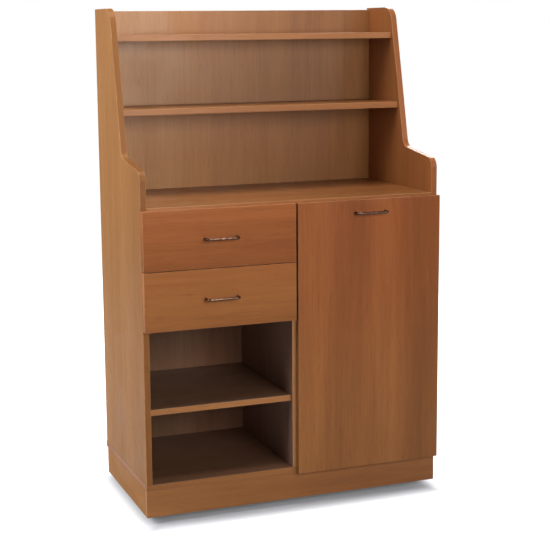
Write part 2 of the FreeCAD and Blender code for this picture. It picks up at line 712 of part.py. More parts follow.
def stop_slot(x):
    """The curved slot that a bin side slides past its stop pin, as a cutter through one side."""
    radius, angle = about_hinge(STOP_PIN_SET_BACK, BIN_TOP - STOP_PIN_DROP)
    half = STOP_PIN_DIAMETER / 2 + STOP_SLOT_PLAY
    first, last = angle, angle + TILT_DEGREES
    outer = [at_hinge_angle(x, radius + half, a) for a in (first, (first + last) / 2, last)]
    inner = [at_hinge_angle(x, radius - half, a) for a in (last, (first + last) / 2, first)]
    cap = math.degrees(half / radius)
    outline = Part.Wire([
        Part.Arc(*outer).toShape(),
        Part.Arc(outer[2], at_hinge_angle(x, radius, last + cap), inner[0]).toShape(),
        Part.Arc(*inner).toShape(),
        Part.Arc(inner[2], at_hinge_angle(x, radius, first - cap), outer[0]).toShape(),
    ])
    return Part.Face(outline).extrude(RIGHT * BIN_SIDE)


def bin_side(x):
    corners = [
        (FRONT_BACK_FACE, BIN_BOTTOM, 0),
        (FRONT_BACK_FACE, BIN_TOP, 0),
        (FRONT_BACK_FACE + BIN_DEPTH, BIN_TOP, BIN_CORNER_RADIUS),
        (FRONT_BACK_FACE + BIN_DEPTH, BIN_BOTTOM, 0),
    ]
    return Part.Face(rounded_outline(corners, x)).extrude(RIGHT * BIN_SIDE).cut(stop_slot(x))


def stop_pins():
    """The two pins that end the bin's tilt, one in the divider and one in the right side panel."""
    reach = BIN_SIDE_CLEARANCE + BIN_SIDE + 2
    y, z = STOP_PIN_SET_BACK, BIN_TOP - STOP_PIN_DROP
    return [
        rod(STOP_PIN_DIAMETER, V(DIVIDER_HALF - STOP_PIN_SOCKET, y, z), V(DIVIDER_HALF + reach, y, z)),
        rod(STOP_PIN_DIAMETER, V(INNER_HALF + STOP_PIN_SOCKET, y, z), V(INNER_HALF - reach, y, z)),
    ]


def hinge_leaf(fixed):
    """One leaf of the piano hinge with its share of the barrel, and the screws in it."""
    left, right = bin_span()
    left, right = left + HINGE_END_MARGIN, right - HINGE_END_MARGIN
    width = FIXED_LEAF_WIDTH if fixed else MOVING_LEAF_WIDTH
    plate_y = (-HINGE_SHEET, 0) if fixed else (FRONT_BACK_FACE, FRONT_BACK_FACE + HINGE_SHEET)
    clear = HINGE_BARREL + HINGE_SEGMENT_PLAY
    plate = block((left, right), plate_y, (HINGE_Z + clear, HINGE_Z + width))
    bore = HINGE_PIN_DIAMETER / 2 + (0 if fixed else HINGE_PIN_PLAY)
    pieces = []
    count = math.floor((right - left) / HINGE_SEGMENT)
    for k in range(0 if fixed else 1, count, 2):
        start = left + k * HINGE_SEGMENT + HINGE_SEGMENT_PLAY / 2
        end = start + HINGE_SEGMENT - HINGE_SEGMENT_PLAY
        pieces.append(block((start, end), plate_y, (HINGE_Z, HINGE_Z + clear)))
        pieces.append(rod(2 * HINGE_BARREL, V(start, HINGE_Y, HINGE_Z), V(end, HINGE_Y, HINGE_Z)))
    hollow = rod(2 * bore, V(left - 1, HINGE_Y, HINGE_Z), V(right + 1, HINGE_Y, HINGE_Z))
    leaf = plate.fuse(pieces).removeSplitter().cut(hollow)
    screws = []
    face_y = plate_y[0] if fixed else plate_y[1]
    level = HINGE_Z + (0.6 if fixed else 0.7) * width
    for share in (0.05, 0.35, 0.65, 0.95):
        head = V(left + share * (right - left), face_y, level)
        screws.append(screw(HINGE_SCREW, head, BACK if fixed else BACK * -1, 12, sunk=False))
    return drilled(leaf, screws), screws


def fixed_leaf_screws():
    return hinge_leaf(True)[1]


def hinge_pin():
    left, right = bin_span()
    margin = HINGE_END_MARGIN
    return rod(HINGE_PIN_DIAMETER, V(left + margin, HINGE_Y, HINGE_Z), V(right - margin, HINGE_Y, HINGE_Z))


def catch_middle():
    return (CENTRE_GAP / 2 + HALF_WIDTH) / 2


def magnetic_catch():
    """The magnet case under the worktop, with its two pole plates."""
    x = catch_middle()
    front = FRONT_BACK_FACE + STRIKE_THICKNESS + CATCH_GAP
    top = WORKTOP_UNDERSIDE
    case = block((x - CATCH_WIDTH / 2, x + CATCH_WIDTH / 2), (front + 1, front + CATCH_DEPTH),
                 (top - CATCH_HEIGHT, top))
    poles = []
    for offset in (-5, 3.5):
        poles.append(block((x + offset, x + offset + 1.5), (front, front + 8), (top - 14, top - 2)))
    return [softened(case).cut(poles)] + poles


def bin_nodes():
    """The tall front and the bin behind it, by node name."""
    left, right = CENTRE_GAP / 2, HALF_WIDTH
    outer_left, outer_right = bin_span()
    inner = (outer_left + BIN_SIDE, outer_right - BIN_SIDE)
    start, end = FRONT_BACK_FACE, FRONT_BACK_FACE + BIN_DEPTH

    front = softened(block((left, right), (FRONT_FACE, FRONT_BACK_FACE), (TALL_FRONT_BOTTOM, FRONT_TOP)))
    floor = block(inner, (start, end), (BIN_BOTTOM, BIN_BOTTOM + BIN_SIDE))
    rear_top = BIN_TOP - BIN_CORNER_RADIUS
    rear = block(inner, (end - BIN_SIDE, end), (BIN_BOTTOM + BIN_SIDE, rear_top))

    middle = V((left + right) / 2, FRONT_FACE, FRONT_TOP - TALL_HANDLE_DROP)
    leaf, leaf_screws = hinge_leaf(False)
    fixings = handle_screws(middle) + leaf_screws
    for x, way in ((outer_left, 1), (outer_right, -1)):
        for z in (BIN_BOTTOM + FIXING_INSET, (BIN_BOTTOM + BIN_TOP) / 2, BIN_TOP - FIXING_INSET):
            foot = V(x + way * BIN_SIDE / 2, start, z)
            fixings.append(rod(CAM_BOLT_DIAMETER, foot - BACK * CAM_BOLT_SOCKET, foot + BACK * 24))
        for z in (BIN_BOTTOM + 2 * FIXING_INSET, rear_top - FIXING_INSET):
            head = V(x, end - BIN_SIDE / 2, z)
            fixings.append(screw(CHIPBOARD_SCREW, head, RIGHT * way, 2.5 * BIN_SIDE))
        for y in (start + FIXING_INSET, end - FIXING_INSET):
            head = V(x, y, BIN_BOTTOM + BIN_SIDE / 2)
            fixings.append(screw(CHIPBOARD_SCREW, head, RIGHT * way, 2.5 * BIN_SIDE))

    strike_x, strike_z = catch_middle(), WORKTOP_UNDERSIDE - 1
    strike = block((strike_x - STRIKE_WIDTH / 2, strike_x + STRIKE_WIDTH / 2),
                   (start, start + STRIKE_THICKNESS), (strike_z - STRIKE_HEIGHT, strike_z))
    return {
        "bin_front": [drilled(front, fixings)],
        "bin_side_left": [drilled(bin_side(outer_left), fixings)],
        "bin_side_right": [drilled(bin_side(outer_right - BIN_SIDE), fixings)],
        "bin_rear": [drilled(rear, fixings)],
        "bin_floor": [drilled(floor, fixings)],
        "bin_handle": [drilled(handle(middle), fixings)],
        "bin_fixings": fixings,
        "bin_hinge_leaf": [leaf],
        "bin_strike_plate": [strike],
    }


# ---------------------------------------------------------------- the whole station
def carcass_nodes():
    """Every fixed piece, by node name."""
    screws = carcass_screws()
    cams = cam_fittings()
    pins = stop_pins()
    fasteners = screws + cams + pins
    upper, lower = shelf_heights()
    level = (BOARD_UNDERSIDE, BOTTOM_TOP)
    boards = {
        "side_panel_left": side_panel().cut(shelf_pin_holes()),
        "side_panel_right": mirrored(side_panel()),
        "bottom_board": softened(block((-HALF_WIDTH, HALF_WIDTH), (0, BOX_BACK), level)),
        "worktop": softened(block((-INNER_HALF, INNER_HALF), (0, HUTCH_BACK_FRONT),
                                  (WORKTOP_UNDERSIDE, WORKTOP_HEIGHT))),
        "centre_divider": softened(block((-DIVIDER_HALF, DIVIDER_HALF), (0, THIN_BACK_FRONT),
                                         (BOTTOM_TOP, WORKTOP_UNDERSIDE))).cut(shelf_pin_holes()),
        "lower_back_panel": block((-INNER_HALF - GROOVE_DEPTH, INNER_HALF + GROOVE_DEPTH),
                                  (THIN_BACK_FRONT, THIN_BACK_FRONT + THIN_BACK),
                                  (BOTTOM_TOP, WORKTOP_UNDERSIDE)),
        "drawer_bay_floor": softened(block((-INNER_HALF, -DIVIDER_HALF), (0, THIN_BACK_FRONT),
                                           (BAY_FLOOR_BOTTOM, BAY_FLOOR_TOP))),
        "hutch_back_panel": softened(block((-INNER_HALF, INNER_HALF), (HUTCH_BACK_FRONT, CARCASS_DEPTH),
                                           (WORKTOP_UNDERSIDE, TOTAL_HEIGHT - HUTCH_BACK_DROP))),
        "hutch_shelf_upper": hutch_shelf(upper),
        "hutch_shelf_lower": hutch_shelf(lower),
    }
    boards.update(plinth_boards())
    nodes = {name: [drilled(board, fasteners)] for name, board in boards.items()}

    cabinet = runner_members()[0]
    runners = both_sides(cabinet, runner_level(UPPER_FRONT_BOTTOM))
    runners += both_sides(cabinet, runner_level(LOWER_FRONT_BOTTOM))
    plates = [castor_plate(place) for place in castor_places().values()]
    nodes.update({
        "compartment_shelf": [compartment_shelf()],
        "shelf_pins": shelf_pins(),
        "cam_fittings": cams,
        "carcass_screws": screws,
        "plinth_brackets": [drilled(bracket, screws) for bracket in plinth_brackets()],
        "castor_plates": [drilled(plate, screws) for plate in plates],
        "runner_cabinet_members": [drilled(runner, screws) for runner in runners],
        "hinge_fixed_leaf": [hinge_leaf(True)[0]],
        "hinge_pin": [hinge_pin()],
        "stop_pins": pins,
        "magnetic_catch": magnetic_catch(),
    })
    return nodes


def castor_nodes():
    """The fork with its axle bolt and the wheel of each castor, by node name."""
    fork, axle, wheel = castor_fork(), castor_axle(), castor_wheel()
    nodes = {}
    for corner in castor_places():
        nodes[f"castor_fork_{corner}"] = [placed_castor(fork, corner), placed_castor(axle, corner)]
        nodes[f"castor_wheel_{corner}"] = [placed_castor(wheel, corner)]
    return nodes


def main():
    """Builds every node and writes one STEP file for each."""
    nodes = carcass_nodes()
    nodes.update(castor_nodes())
    nodes.update(drawer("drawer_upper", UPPER_FRONT_BOTTOM))
    nodes.update(drawer("drawer_lower", LOWER_FRONT_BOTTOM))
    nodes.update(bin_nodes())
    os.makedirs("parts", exist_ok=True)
    for name, solids in nodes.items():
        shape = solids[0] if len(solids) == 1 else Part.makeCompound(solids)
        shape = shape.copy()
        shape.translate(TO_ORIGIN)
        shape.exportStep(f"parts/{name}.step")
    print(len(nodes), "nodes")


main()
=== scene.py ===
"""Looks of the waiter service station: boards, handles, castor wheels and studio."""

import json
import logging
import math
from dataclasses import dataclass
from enum import Enum
from typing import Any, Callable, Optional, Sequence

import bpy
from mathutils import Matrix, Vector


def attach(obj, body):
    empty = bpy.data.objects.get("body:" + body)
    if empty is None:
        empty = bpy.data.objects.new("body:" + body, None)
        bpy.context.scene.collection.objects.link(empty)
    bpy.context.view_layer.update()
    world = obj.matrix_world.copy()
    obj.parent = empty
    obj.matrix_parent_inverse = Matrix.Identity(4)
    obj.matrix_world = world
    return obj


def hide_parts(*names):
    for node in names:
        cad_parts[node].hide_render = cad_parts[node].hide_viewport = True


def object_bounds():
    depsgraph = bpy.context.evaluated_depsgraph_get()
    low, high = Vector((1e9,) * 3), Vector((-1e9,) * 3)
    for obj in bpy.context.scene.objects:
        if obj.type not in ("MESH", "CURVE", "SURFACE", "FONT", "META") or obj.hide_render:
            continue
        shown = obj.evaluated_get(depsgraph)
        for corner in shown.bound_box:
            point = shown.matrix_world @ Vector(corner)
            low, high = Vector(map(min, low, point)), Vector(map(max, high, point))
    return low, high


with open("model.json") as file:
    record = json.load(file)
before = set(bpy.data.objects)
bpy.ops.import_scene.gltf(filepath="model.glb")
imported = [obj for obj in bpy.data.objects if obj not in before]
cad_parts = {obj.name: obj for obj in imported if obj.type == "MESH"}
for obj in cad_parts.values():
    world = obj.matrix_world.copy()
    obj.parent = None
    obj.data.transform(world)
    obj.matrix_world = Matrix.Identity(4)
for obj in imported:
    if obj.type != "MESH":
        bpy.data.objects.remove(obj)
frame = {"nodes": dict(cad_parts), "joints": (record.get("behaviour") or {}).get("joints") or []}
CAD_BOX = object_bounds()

log = logging.getLogger("service_station")

Face = bpy.types.MeshPolygon
Material = bpy.types.Material
Node = bpy.types.Node
Piece = bpy.types.Object
Socket = bpy.types.NodeSocket
Tree = bpy.types.NodeTree
Span = tuple[float, float]
Triple = tuple[float, float, float]

MM = 0.001
IMAGE_SIZE = 550            # pixels, both ways
MIDDLE = 0.5                # of a noise, of a print's tone and of a figure's level


# -------------------------------- small helpers


def linear(colour: str) -> tuple[float, float, float, float]:
    """Turn an sRGB hex colour into linear light.

    Args:
        colour: six hex digits after a hash sign.

    Returns:
        Linear red, green and blue, and an alpha of 1.
    """
    parts = [int(colour[i:i + 2], 16) / 255 for i in (1, 3, 5)]
    light = [c / 12.92 if c <= 0.04045 else ((c + 0.055) / 1.055) ** 2.4 for c in parts]
    return (*light, 1.0)


def noise_scale(width: float) -> float:
    """Give the noise scale that makes stripes of a width in millimetres."""
    return 0.5 / (width * MM)


def between(ends: Span) -> dict[str, float]:
    """Name a Map Range node's sockets for the values that become 0 and 1."""
    return {"From Min": ends[0], "From Max": ends[1]}


def add_node(
    tree: Tree,
    kind: str,
    inputs: Optional[dict[Any, Any]] = None,
    stops: Optional[Sequence[tuple[float, Any]]] = None,
    **settings: Any,
) -> Node:
    """Add one node with its settings, its constants and its links.

    Args:
        tree: the tree that gets the node.
        kind: the node's type, without "ShaderNode".
        inputs: socket name or number, and the constant or output socket that it takes.
        stops: a colour ramp's positions and their colours or greys.
        settings: the node's own properties.

    Returns:
        The new node.
    """
    node = tree.nodes.new("ShaderNode" + kind)
    for name, value in settings.items():
        setattr(node, name, value)
    for name, value in (inputs or {}).items():
        if isinstance(value, Socket):
            tree.links.new(value, node.inputs[name])
        else:
            node.inputs[name].default_value = value
    if stops:
        ramp = node.color_ramp
        while len(ramp.elements) < len(stops):
            ramp.elements.new(1.0)
        for element, (position, value) in zip(ramp.elements, stops):
            grey = (value, value, value, 1.0)
            element.position = position
            element.color = linear(value) if isinstance(value, str) else grey
    return node


def blank_material(name: str) -> tuple[Material, Tree, Node]:
    """Make an empty material with only its output node.

    Args:
        name: the material's name.

    Returns:
        The material, its tree and its output node.
    """
    material = bpy.data.materials.new(name)
    material.use_nodes = True
    material.node_tree.nodes.clear()
    output = add_node(material.node_tree, "OutputMaterial")
    return material, material.node_tree, output


def dress(names: Sequence[str], material: Material) -> None:
    """Put a material on CAD nodes through their objects' material slots.

    Args:
        names: the CAD nodes.
        material: what they are made of.
    """
    for name in names:
        for place in frame["nodes"][name].material_slots:
            place.material = material
        log.info("%s is dressed in %s", name, material.name)


def deselect() -> None:
    """Leave edit mode and deselect everything."""
    if bpy.context.object and bpy.context.object.mode != "OBJECT":
        bpy.ops.object.mode_set(mode="OBJECT")
    bpy.ops.object.select_all(action="DESELECT")


def clear_selection(part: str) -> None:
    """Deselect everything in the mesh being modelled, and leave edit mode.

    Args:
        part: what is selected next, "FACE" or "EDGE".
    """
    bpy.ops.object.mode_set(mode="EDIT")
    bpy.ops.mesh.select_mode(type=part)
    bpy.ops.mesh.select_all(action="DESELECT")
    bpy.ops.object.mode_set(mode="OBJECT")


def pick_faces(piece: Piece, wanted: Callable[[Face], bool]) -> None:
    """Select only the faces that a test wants, and go back to edit mode.

    Args:
        piece: the mesh object being modelled.
        wanted: the test, which is given a face.
    """
    clear_selection("FACE")
    for face in piece.data.polygons:
        face.select = wanted(face)
    bpy.ops.object.mode_set(mode="EDIT")


# -------------------------------- finishes


class Axis(Enum):
    """The frame's three directions."""

    X = (1.0, 0.0, 0.0)
    Y = (0.0, 1.0, 0.0)
    Z = (0.0, 0.0, 1.0)


@dataclass(frozen=True)
class Ink:
    """The printed colours of a wood foil, from its darkest figure to its palest."""

    deep: str
    mid: str
    light: str
    pale: str
    pore: str
    # the trim's pale colour: a worn edge band, and partly a painted highlight on the arris
    pale_trim_and_highlight: str
    warm: str = "#FFE1E0"             # what the warmest stretches are multiplied by

    def printed(self, tree: Tree, tone: Socket) -> Socket:
        """Turn the tone into the printed colour.

        Args:
            tree: the material's tree.
            tone: the print's tone.

        Returns:
            The colour.
        """
        return add_node(tree, "ValToRGB", {"Fac": tone}, [
            (0.0, self.deep), (0.42, self.mid), (0.68, self.light), (1.0, self.pale),
        ]).outputs["Color"]


CHERRY_FRONT_INK = Ink("#694123", "#8A5931", "#9D6839", "#B07D50", "#4E2A1A", "#C69A70")
CHERRY_CARCASS_INK = Ink(
    "#6C4224", "#8E5B31", "#A06B3B", "#B28052", "#4E2C1A", "#CBA077")
CHERRY_SIDE_INK = Ink(
    "#6C472A", "#8E6138", "#A07245", "#B2885C", "#4E2C1A", "#D2AC88", "#FFFDEC")
# a paler copy of the carcass print: painted light on the hutch back
CHERRY_HUTCH_PAINTED_LIGHT_INK = Ink("#704625", "#946132", "#A6713C", "#B88753", "#4E2C1A", "#CBA077")
CHERRY_PLINTH_INK = Ink(
    "#6C4220", "#8E5D2C", "#A06D35", "#B2834B", "#4E2C1A", "#CBA077", "#FFFDEC")
# darker, greyer copies of the cherry print for the boards of the open compartments: painted
# shade
PAINTED_SHADE_LYING_INK = Ink("#513B2C", "#6A4C38", "#7B5B43", "#8E6E54", "#3C2A20", "#A88C70")
PAINTED_SHADE_UPRIGHT_INK = Ink(
    "#674A36", "#856248", "#967257", "#A98569", "#4A3428", "#B89A80")
# a greyed copy of the cherry print for the divider's face in the dark compartment: painted sheen
DIVIDER_PAINTED_SHEEN_INK = Ink("#6B4F41", "#8A6A59", "#9B7A68", "#AE8E7B", "#4A3428", "#B89A80")
BEECH_INK = Ink("#8A6240", "#A67A52", "#B98C62", "#C89E75", "#6B4A30", "#D9BD98")


@dataclass(frozen=True)
class FigureAndPaintedLight:
    """A broad change of the tone over one board; some are figures of the print, and some are
    painted light and shade.

    Positions are in millimetres along the given direction, and levels go from 0 to 1.
    """

    along: Axis
    levels: tuple[Span, ...]
    stray: float = 0.12               # how far it strays with the grain, in metres

    def level(self, tree: Tree, place: Node, wander: Socket) -> Socket:
        """Read the figure's level, straying a little with the grain.

        Args:
            tree: the material's tree.
            place: its Texture Coordinate node.
            wander: how far the print strays sideways.

        Returns:
            The level.
        """
        low, high = self.levels[0][0], self.levels[-1][0]
        spot = add_node(tree, "VectorMath", {
            0: place.outputs["Object"], 1: self.along.value}, operation="DOT_PRODUCT")
        strayed = add_node(tree, "Math", {
            0: wander, 1: self.stray, 2: spot.outputs["Value"]},
            operation="MULTIPLY_ADD").outputs[0]
        share = add_node(tree, "MapRange", {
            "Value": strayed, **between((low * MM, high * MM))}).outputs[0]
        ramp = add_node(tree, "ValToRGB", {"Fac": share}, [
            ((at - low) / (high - low), level) for at, level in self.levels])
        ramp.color_ramp.interpolation = "B_SPLINE"
        return ramp.outputs[0]


@dataclass(frozen=True)
class PrintLayer:
    """One size of stripe in a wood print."""

    width: float                      # mm
    gain: float                       # how much it adds to the tone
    detail: float                     # how many finer stripes it carries


@dataclass(frozen=True)
class WoodFoilBoard:
    """Melamine-faced chipboard: a printed wood foil and edge bands of the same print.

    It gives the eye a satin, even sheet whose grain is print: broad soft bands of
    100 mm, growth lines some 8 mm apart, fine fibres and short pores, and a thin paler
    line where each edge band is trimmed to a 1 mm round, which is partly a painted
    highlight along the arris. Some boards also carry painted light and shade in the print.
    """

    name: str
    grain: Axis
    thickness: Axis
    ink: Ink = CHERRY_CARCASS_INK
    cut: float = 0.0                  # mm that this board's print lies further on
    figures_and_painted_light: tuple[FigureAndPaintedLight, ...] = ()  # print bands, painted light and painted shade; 0.5 changes nothing
    warming: Optional[FigureAndPaintedLight] = None  # where the print turns to its warm colour
    warmth: float = 0.5               # how much of it the warmer patches take
    sheen: float = 0.28               # roughness of the satin press plate
    gloss: float = 0.20               # how strongly the satin face mirrors
    trim: float = 1.0                 # how pale the trimmed line of the edge band is; partly a painted highlight
    band_tone: float = 0.0            # how much paler than the face the edge band is
    band_ink: Optional[Ink] = None    # where the edge band has a print of its own
    layers: tuple[PrintLayer, ...] = (
        PrintLayer(105.0, 0.50, 1.0),  # broad bands
        PrintLayer(28.0, 0.26, 1.0),   # streaks within a band
        PrintLayer(8.0, 0.28, 2.0),    # growth lines
        PrintLayer(2.2, 0.20, 1.0),    # fibres; 0.3 mm in truth, coarse enough to show
    )
    pore_width: float = 1.1           # mm; 0.2 mm in truth, coarse enough to show
    pore_share: float = 0.25          # how dark a pore is
    pore_depth: float = 0.1           # mm
    pore_noise: Span = (0.62, 0.78)   # noise at which a pore begins and is full
    patch_width: float = 150.0        # mm, warmer stretches of the print
    patch_noise: Span = (0.38, 0.62)  # noise at which a warm one begins and is full
    stretch: float = 0.05             # width of a stripe over its length
    wander_scale: float = 5.0         # how often the grain strays, per metre
    wander_reach: float = 0.05        # how far it strays, in metres
    edge_limit: float = 0.5           # a surface less flat than this is an edge
    arris: tuple[Span, ...] = (       # flatness, and how much of the trim is there
        (0.0, 0.0), (0.12, 0.0), (0.45, 1.0), (0.80, 1.0), (0.97, 0.0))
    rub_scale: float = 22.0           # rubbed places, per metre of an edge
    rub_noise: Span = (0.38, 0.66)    # noise at which a rub begins and is full
    rub: Span = (0.18, 0.75)          # how much paler the trim is, unrubbed and rubbed
    smear_scale: float = 7.0          # scuffed places, per metre of a face
    smear_noise: Span = (0.35, 0.75)  # noise at which a scuff begins and is full
    scuff: float = 0.16               # how much rougher the scuffs are

    def material(self) -> Material:
        """Build the board's material.

        Returns:
            The material.
        """
        material, tree, output = blank_material(self.name)
        place = add_node(tree, "TexCoord")
        flatness = self._flatness(tree, place)
        edge = add_node(tree, "Math", {
            0: flatness, 1: self.edge_limit}, operation="LESS_THAN").outputs[0]
        run, wander = self._run_of_grain(tree, place, edge)
        colour = self._colour(tree, place, edge, run, wander)
        pores = self._pores(tree, run)
        colour = add_node(tree, "Mix", {
            0: pores, 6: colour, 7: linear(self.ink.pore)}, data_type="RGBA").outputs[2]
        pale_trim_and_highlight, scuffs = self._wear_and_painted_highlight(tree, place, flatness)
        # the pale trim, worn and partly a painted highlight, goes on the arris
        colour = add_node(tree, "Mix", {
            0: pale_trim_and_highlight, 6: colour, 7: linear(self.ink.pale_trim_and_highlight)}, data_type="RGBA").outputs[2]
        rough = add_node(tree, "Math", {
            0: scuffs, 1: self.scuff, 2: self.sheen},
            operation="MULTIPLY_ADD").outputs[0]
        bump = add_node(tree, "Bump", {
            "Height": pores, "Strength": 0.25, "Distance": self.pore_depth * MM},
            invert=True)
        shader = add_node(tree, "BsdfPrincipled", {
            "Base Color": colour, "Roughness": rough, "Specular IOR Level": self.gloss,
            "Normal": bump.outputs[0]})
        tree.links.new(shader.outputs[0], output.inputs["Surface"])
        return material

    def _flatness(self, tree: Tree, place: Node) -> Socket:
        """Say how far the surface faces out of the board: 1 on a face, 0 on an edge.

        Args:
            tree: the material's tree.
            place: its Texture Coordinate node.

        Returns:
            The socket with that value.
        """
        facing = add_node(tree, "VectorMath", {
            0: place.outputs["Normal"], 1: self.thickness.value},
            operation="DOT_PRODUCT")
        return add_node(tree, "Math", {
            0: facing.outputs["Value"]}, operation="ABSOLUTE").outputs[0]

    def _run_of_grain(
        self, tree: Tree, place: Node, edge: Socket
    ) -> tuple[Socket, Socket]:
        """Lay the print: along the grain on a face, and along the band on an edge.

        Args:
            tree: the material's tree.
            place: its Texture Coordinate node.
            edge: 1 on an edge.

        Returns:
            The stretched print coordinates, and the slow sideways wander in them.
        """
        across = next(a for a in Axis if a not in (self.grain, self.thickness))
        turn = Matrix((self.grain.value, across.value, self.thickness.value))
        if turn.determinant() < 0:
            turn[2].negate()
        laid = add_node(tree, "Mapping", {
            "Vector": place.outputs["Object"], "Rotation": turn.to_euler(),
            "Location": (0.0, self.cut * MM, self.cut * MM)})
        along = add_node(tree, "VectorMath", {
            0: place.outputs["Normal"], 1: self.thickness.value},
            operation="CROSS_PRODUCT")
        reach = add_node(tree, "VectorMath", {
            0: place.outputs["Object"], 1: along.outputs[0]}, operation="DOT_PRODUCT")
        depth = add_node(tree, "VectorMath", {
            0: place.outputs["Object"], 1: self.thickness.value},
            operation="DOT_PRODUCT")
        band = add_node(tree, "CombineXYZ", {
            "X": reach.outputs["Value"], "Y": depth.outputs["Value"]})
        where = add_node(tree, "Mix", {
            0: edge, 4: laid.outputs[0], 5: band.outputs[0]},
            data_type="VECTOR").outputs[1]
        long = add_node(tree, "VectorMath", {
            0: where, 1: (self.stretch, 1.0, 1.0)}, operation="MULTIPLY").outputs[0]
        wander = add_node(tree, "TexNoise", {
            "Vector": long, "Scale": self.wander_scale, "Detail": 1.0}).outputs[0]
        shift = add_node(tree, "Math", {
            0: wander, 1: -MIDDLE}, operation="ADD").outputs[0]
        push = add_node(tree, "VectorMath", {
            0: (0.0, self.wander_reach, 0.0), "Scale": shift},
            operation="SCALE").outputs[0]
        run = add_node(tree, "VectorMath", {
            0: long, 1: push}, operation="ADD").outputs[0]
        return run, shift

    def _colour(
        self, tree: Tree, place: Node, edge: Socket, run: Socket, wander: Socket
    ) -> Socket:
        """Print the tone in the inks of face and edge band, and warm some stretches.

        Args:
            tree: the material's tree.
            place: its Texture Coordinate node.
            edge: 1 on an edge.
            run: the stretched print coordinates.
            wander: how far the print strays sideways.

        Returns:
            The colour.
        """
        tone = add_node(tree, "Math", {
            0: edge, 1: self.band_tone, 2: self._tone(tree, place, run, wander)},
            operation="MULTIPLY_ADD").outputs[0]
        colour = self.ink.printed(tree, tone)
        if self.band_ink is not None:
            colour = add_node(tree, "Mix", {
                0: edge, 6: colour, 7: self.band_ink.printed(tree, tone)},
                data_type="RGBA").outputs[2]
        patches = add_node(tree, "TexNoise", {
            "Vector": run, "Scale": noise_scale(self.patch_width),
            "Detail": 1.0}).outputs[0]
        warmer = add_node(tree, "MapRange", {
            "Value": patches, **between(self.patch_noise),
            "To Max": self.warmth}).outputs[0]
        if self.warming is not None:
            warmer = add_node(tree, "Math", {
                0: warmer, 1: self.warming.level(tree, place, wander)},
                operation="ADD").outputs[0]
        return add_node(tree, "Mix", {
            0: warmer, 6: colour, 7: linear(self.ink.warm)},
            data_type="RGBA", blend_type="MULTIPLY").outputs[2]

    def _tone(self, tree: Tree, place: Node, run: Socket, wander: Socket) -> Socket:
        """Add up the print's layers, the board's own figures, and its painted light and shade.

        Args:
            tree: the material's tree.
            place: its Texture Coordinate node.
            run: the stretched print coordinates.
            wander: how far the print strays sideways.

        Returns:
            The tone, mostly between 0 and 1.
        """
        tone: Any = MIDDLE - MIDDLE * sum(layer.gain for layer in self.layers)
        for layer in self.layers:
            noise = add_node(tree, "TexNoise", {
                "Vector": run, "Scale": noise_scale(layer.width),
                "Detail": layer.detail})
            tone = add_node(tree, "Math", {
                0: noise.outputs[0], 1: layer.gain, 2: tone},
                operation="MULTIPLY_ADD").outputs[0]
        for figure in self.figures_and_painted_light:
            level = figure.level(tree, place, wander)
            centred = add_node(tree, "Math", {
                0: level, 1: -MIDDLE}, operation="ADD").outputs[0]
            tone = add_node(tree, "Math", {
                0: centred, 1: tone}, operation="ADD").outputs[0]
        return tone

    def _pores(self, tree: Tree, run: Socket) -> Socket:
        """Scatter the short dark pores of the print.

        Args:
            tree: the material's tree.
            run: the stretched print coordinates.

        Returns:
            How much of a pore is at a point.
        """
        dashes = add_node(tree, "TexNoise", {
            "Vector": run, "Scale": noise_scale(self.pore_width), "Detail": 0.0})
        return add_node(tree, "MapRange", {
            "Value": dashes.outputs[0], **between(self.pore_noise),
            "To Max": self.pore_share}).outputs[0]

    def _wear_and_painted_highlight(self, tree: Tree, place: Node, flatness: Socket) -> tuple[Socket, Socket]:
        """Trim the edge bands' arris, rub it paler in places, and scuff the faces; the pale trim
        is partly a painted highlight along the arris.

        Args:
            tree: the material's tree.
            place: its Texture Coordinate node.
            flatness: 1 on a face, 0 on an edge.

        Returns:
            How far the colour turns to the pale trim, which is worn and partly a painted
            highlight, and how scuffed the gloss is.
        """
        arris = add_node(tree, "ValToRGB", {"Fac": flatness}, self.arris).outputs[0]
        rubbed = add_node(tree, "TexNoise", {
            "Vector": place.outputs["Object"], "Scale": self.rub_scale, "Detail": 4.0,
            "Roughness": 0.65}).outputs[0]
        patchy = add_node(tree, "MapRange", {
            "Value": rubbed, **between(self.rub_noise),
            "To Min": self.rub[0] * self.trim,
            "To Max": self.rub[1] * self.trim}).outputs[0]
        pale_trim_and_highlight = add_node(tree, "Math", {
            0: arris, 1: patchy}, operation="MULTIPLY").outputs[0]
        smears = add_node(tree, "TexNoise", {
            "Vector": place.outputs["Object"], "Scale": self.smear_scale, "Detail": 6.0,
            "Roughness": 0.7, "Distortion": 0.6}).outputs[0]
        scuffs = add_node(tree, "MapRange", {
            "Value": smears, **between(self.smear_noise)}).outputs[0]
        return pale_trim_and_highlight, scuffs


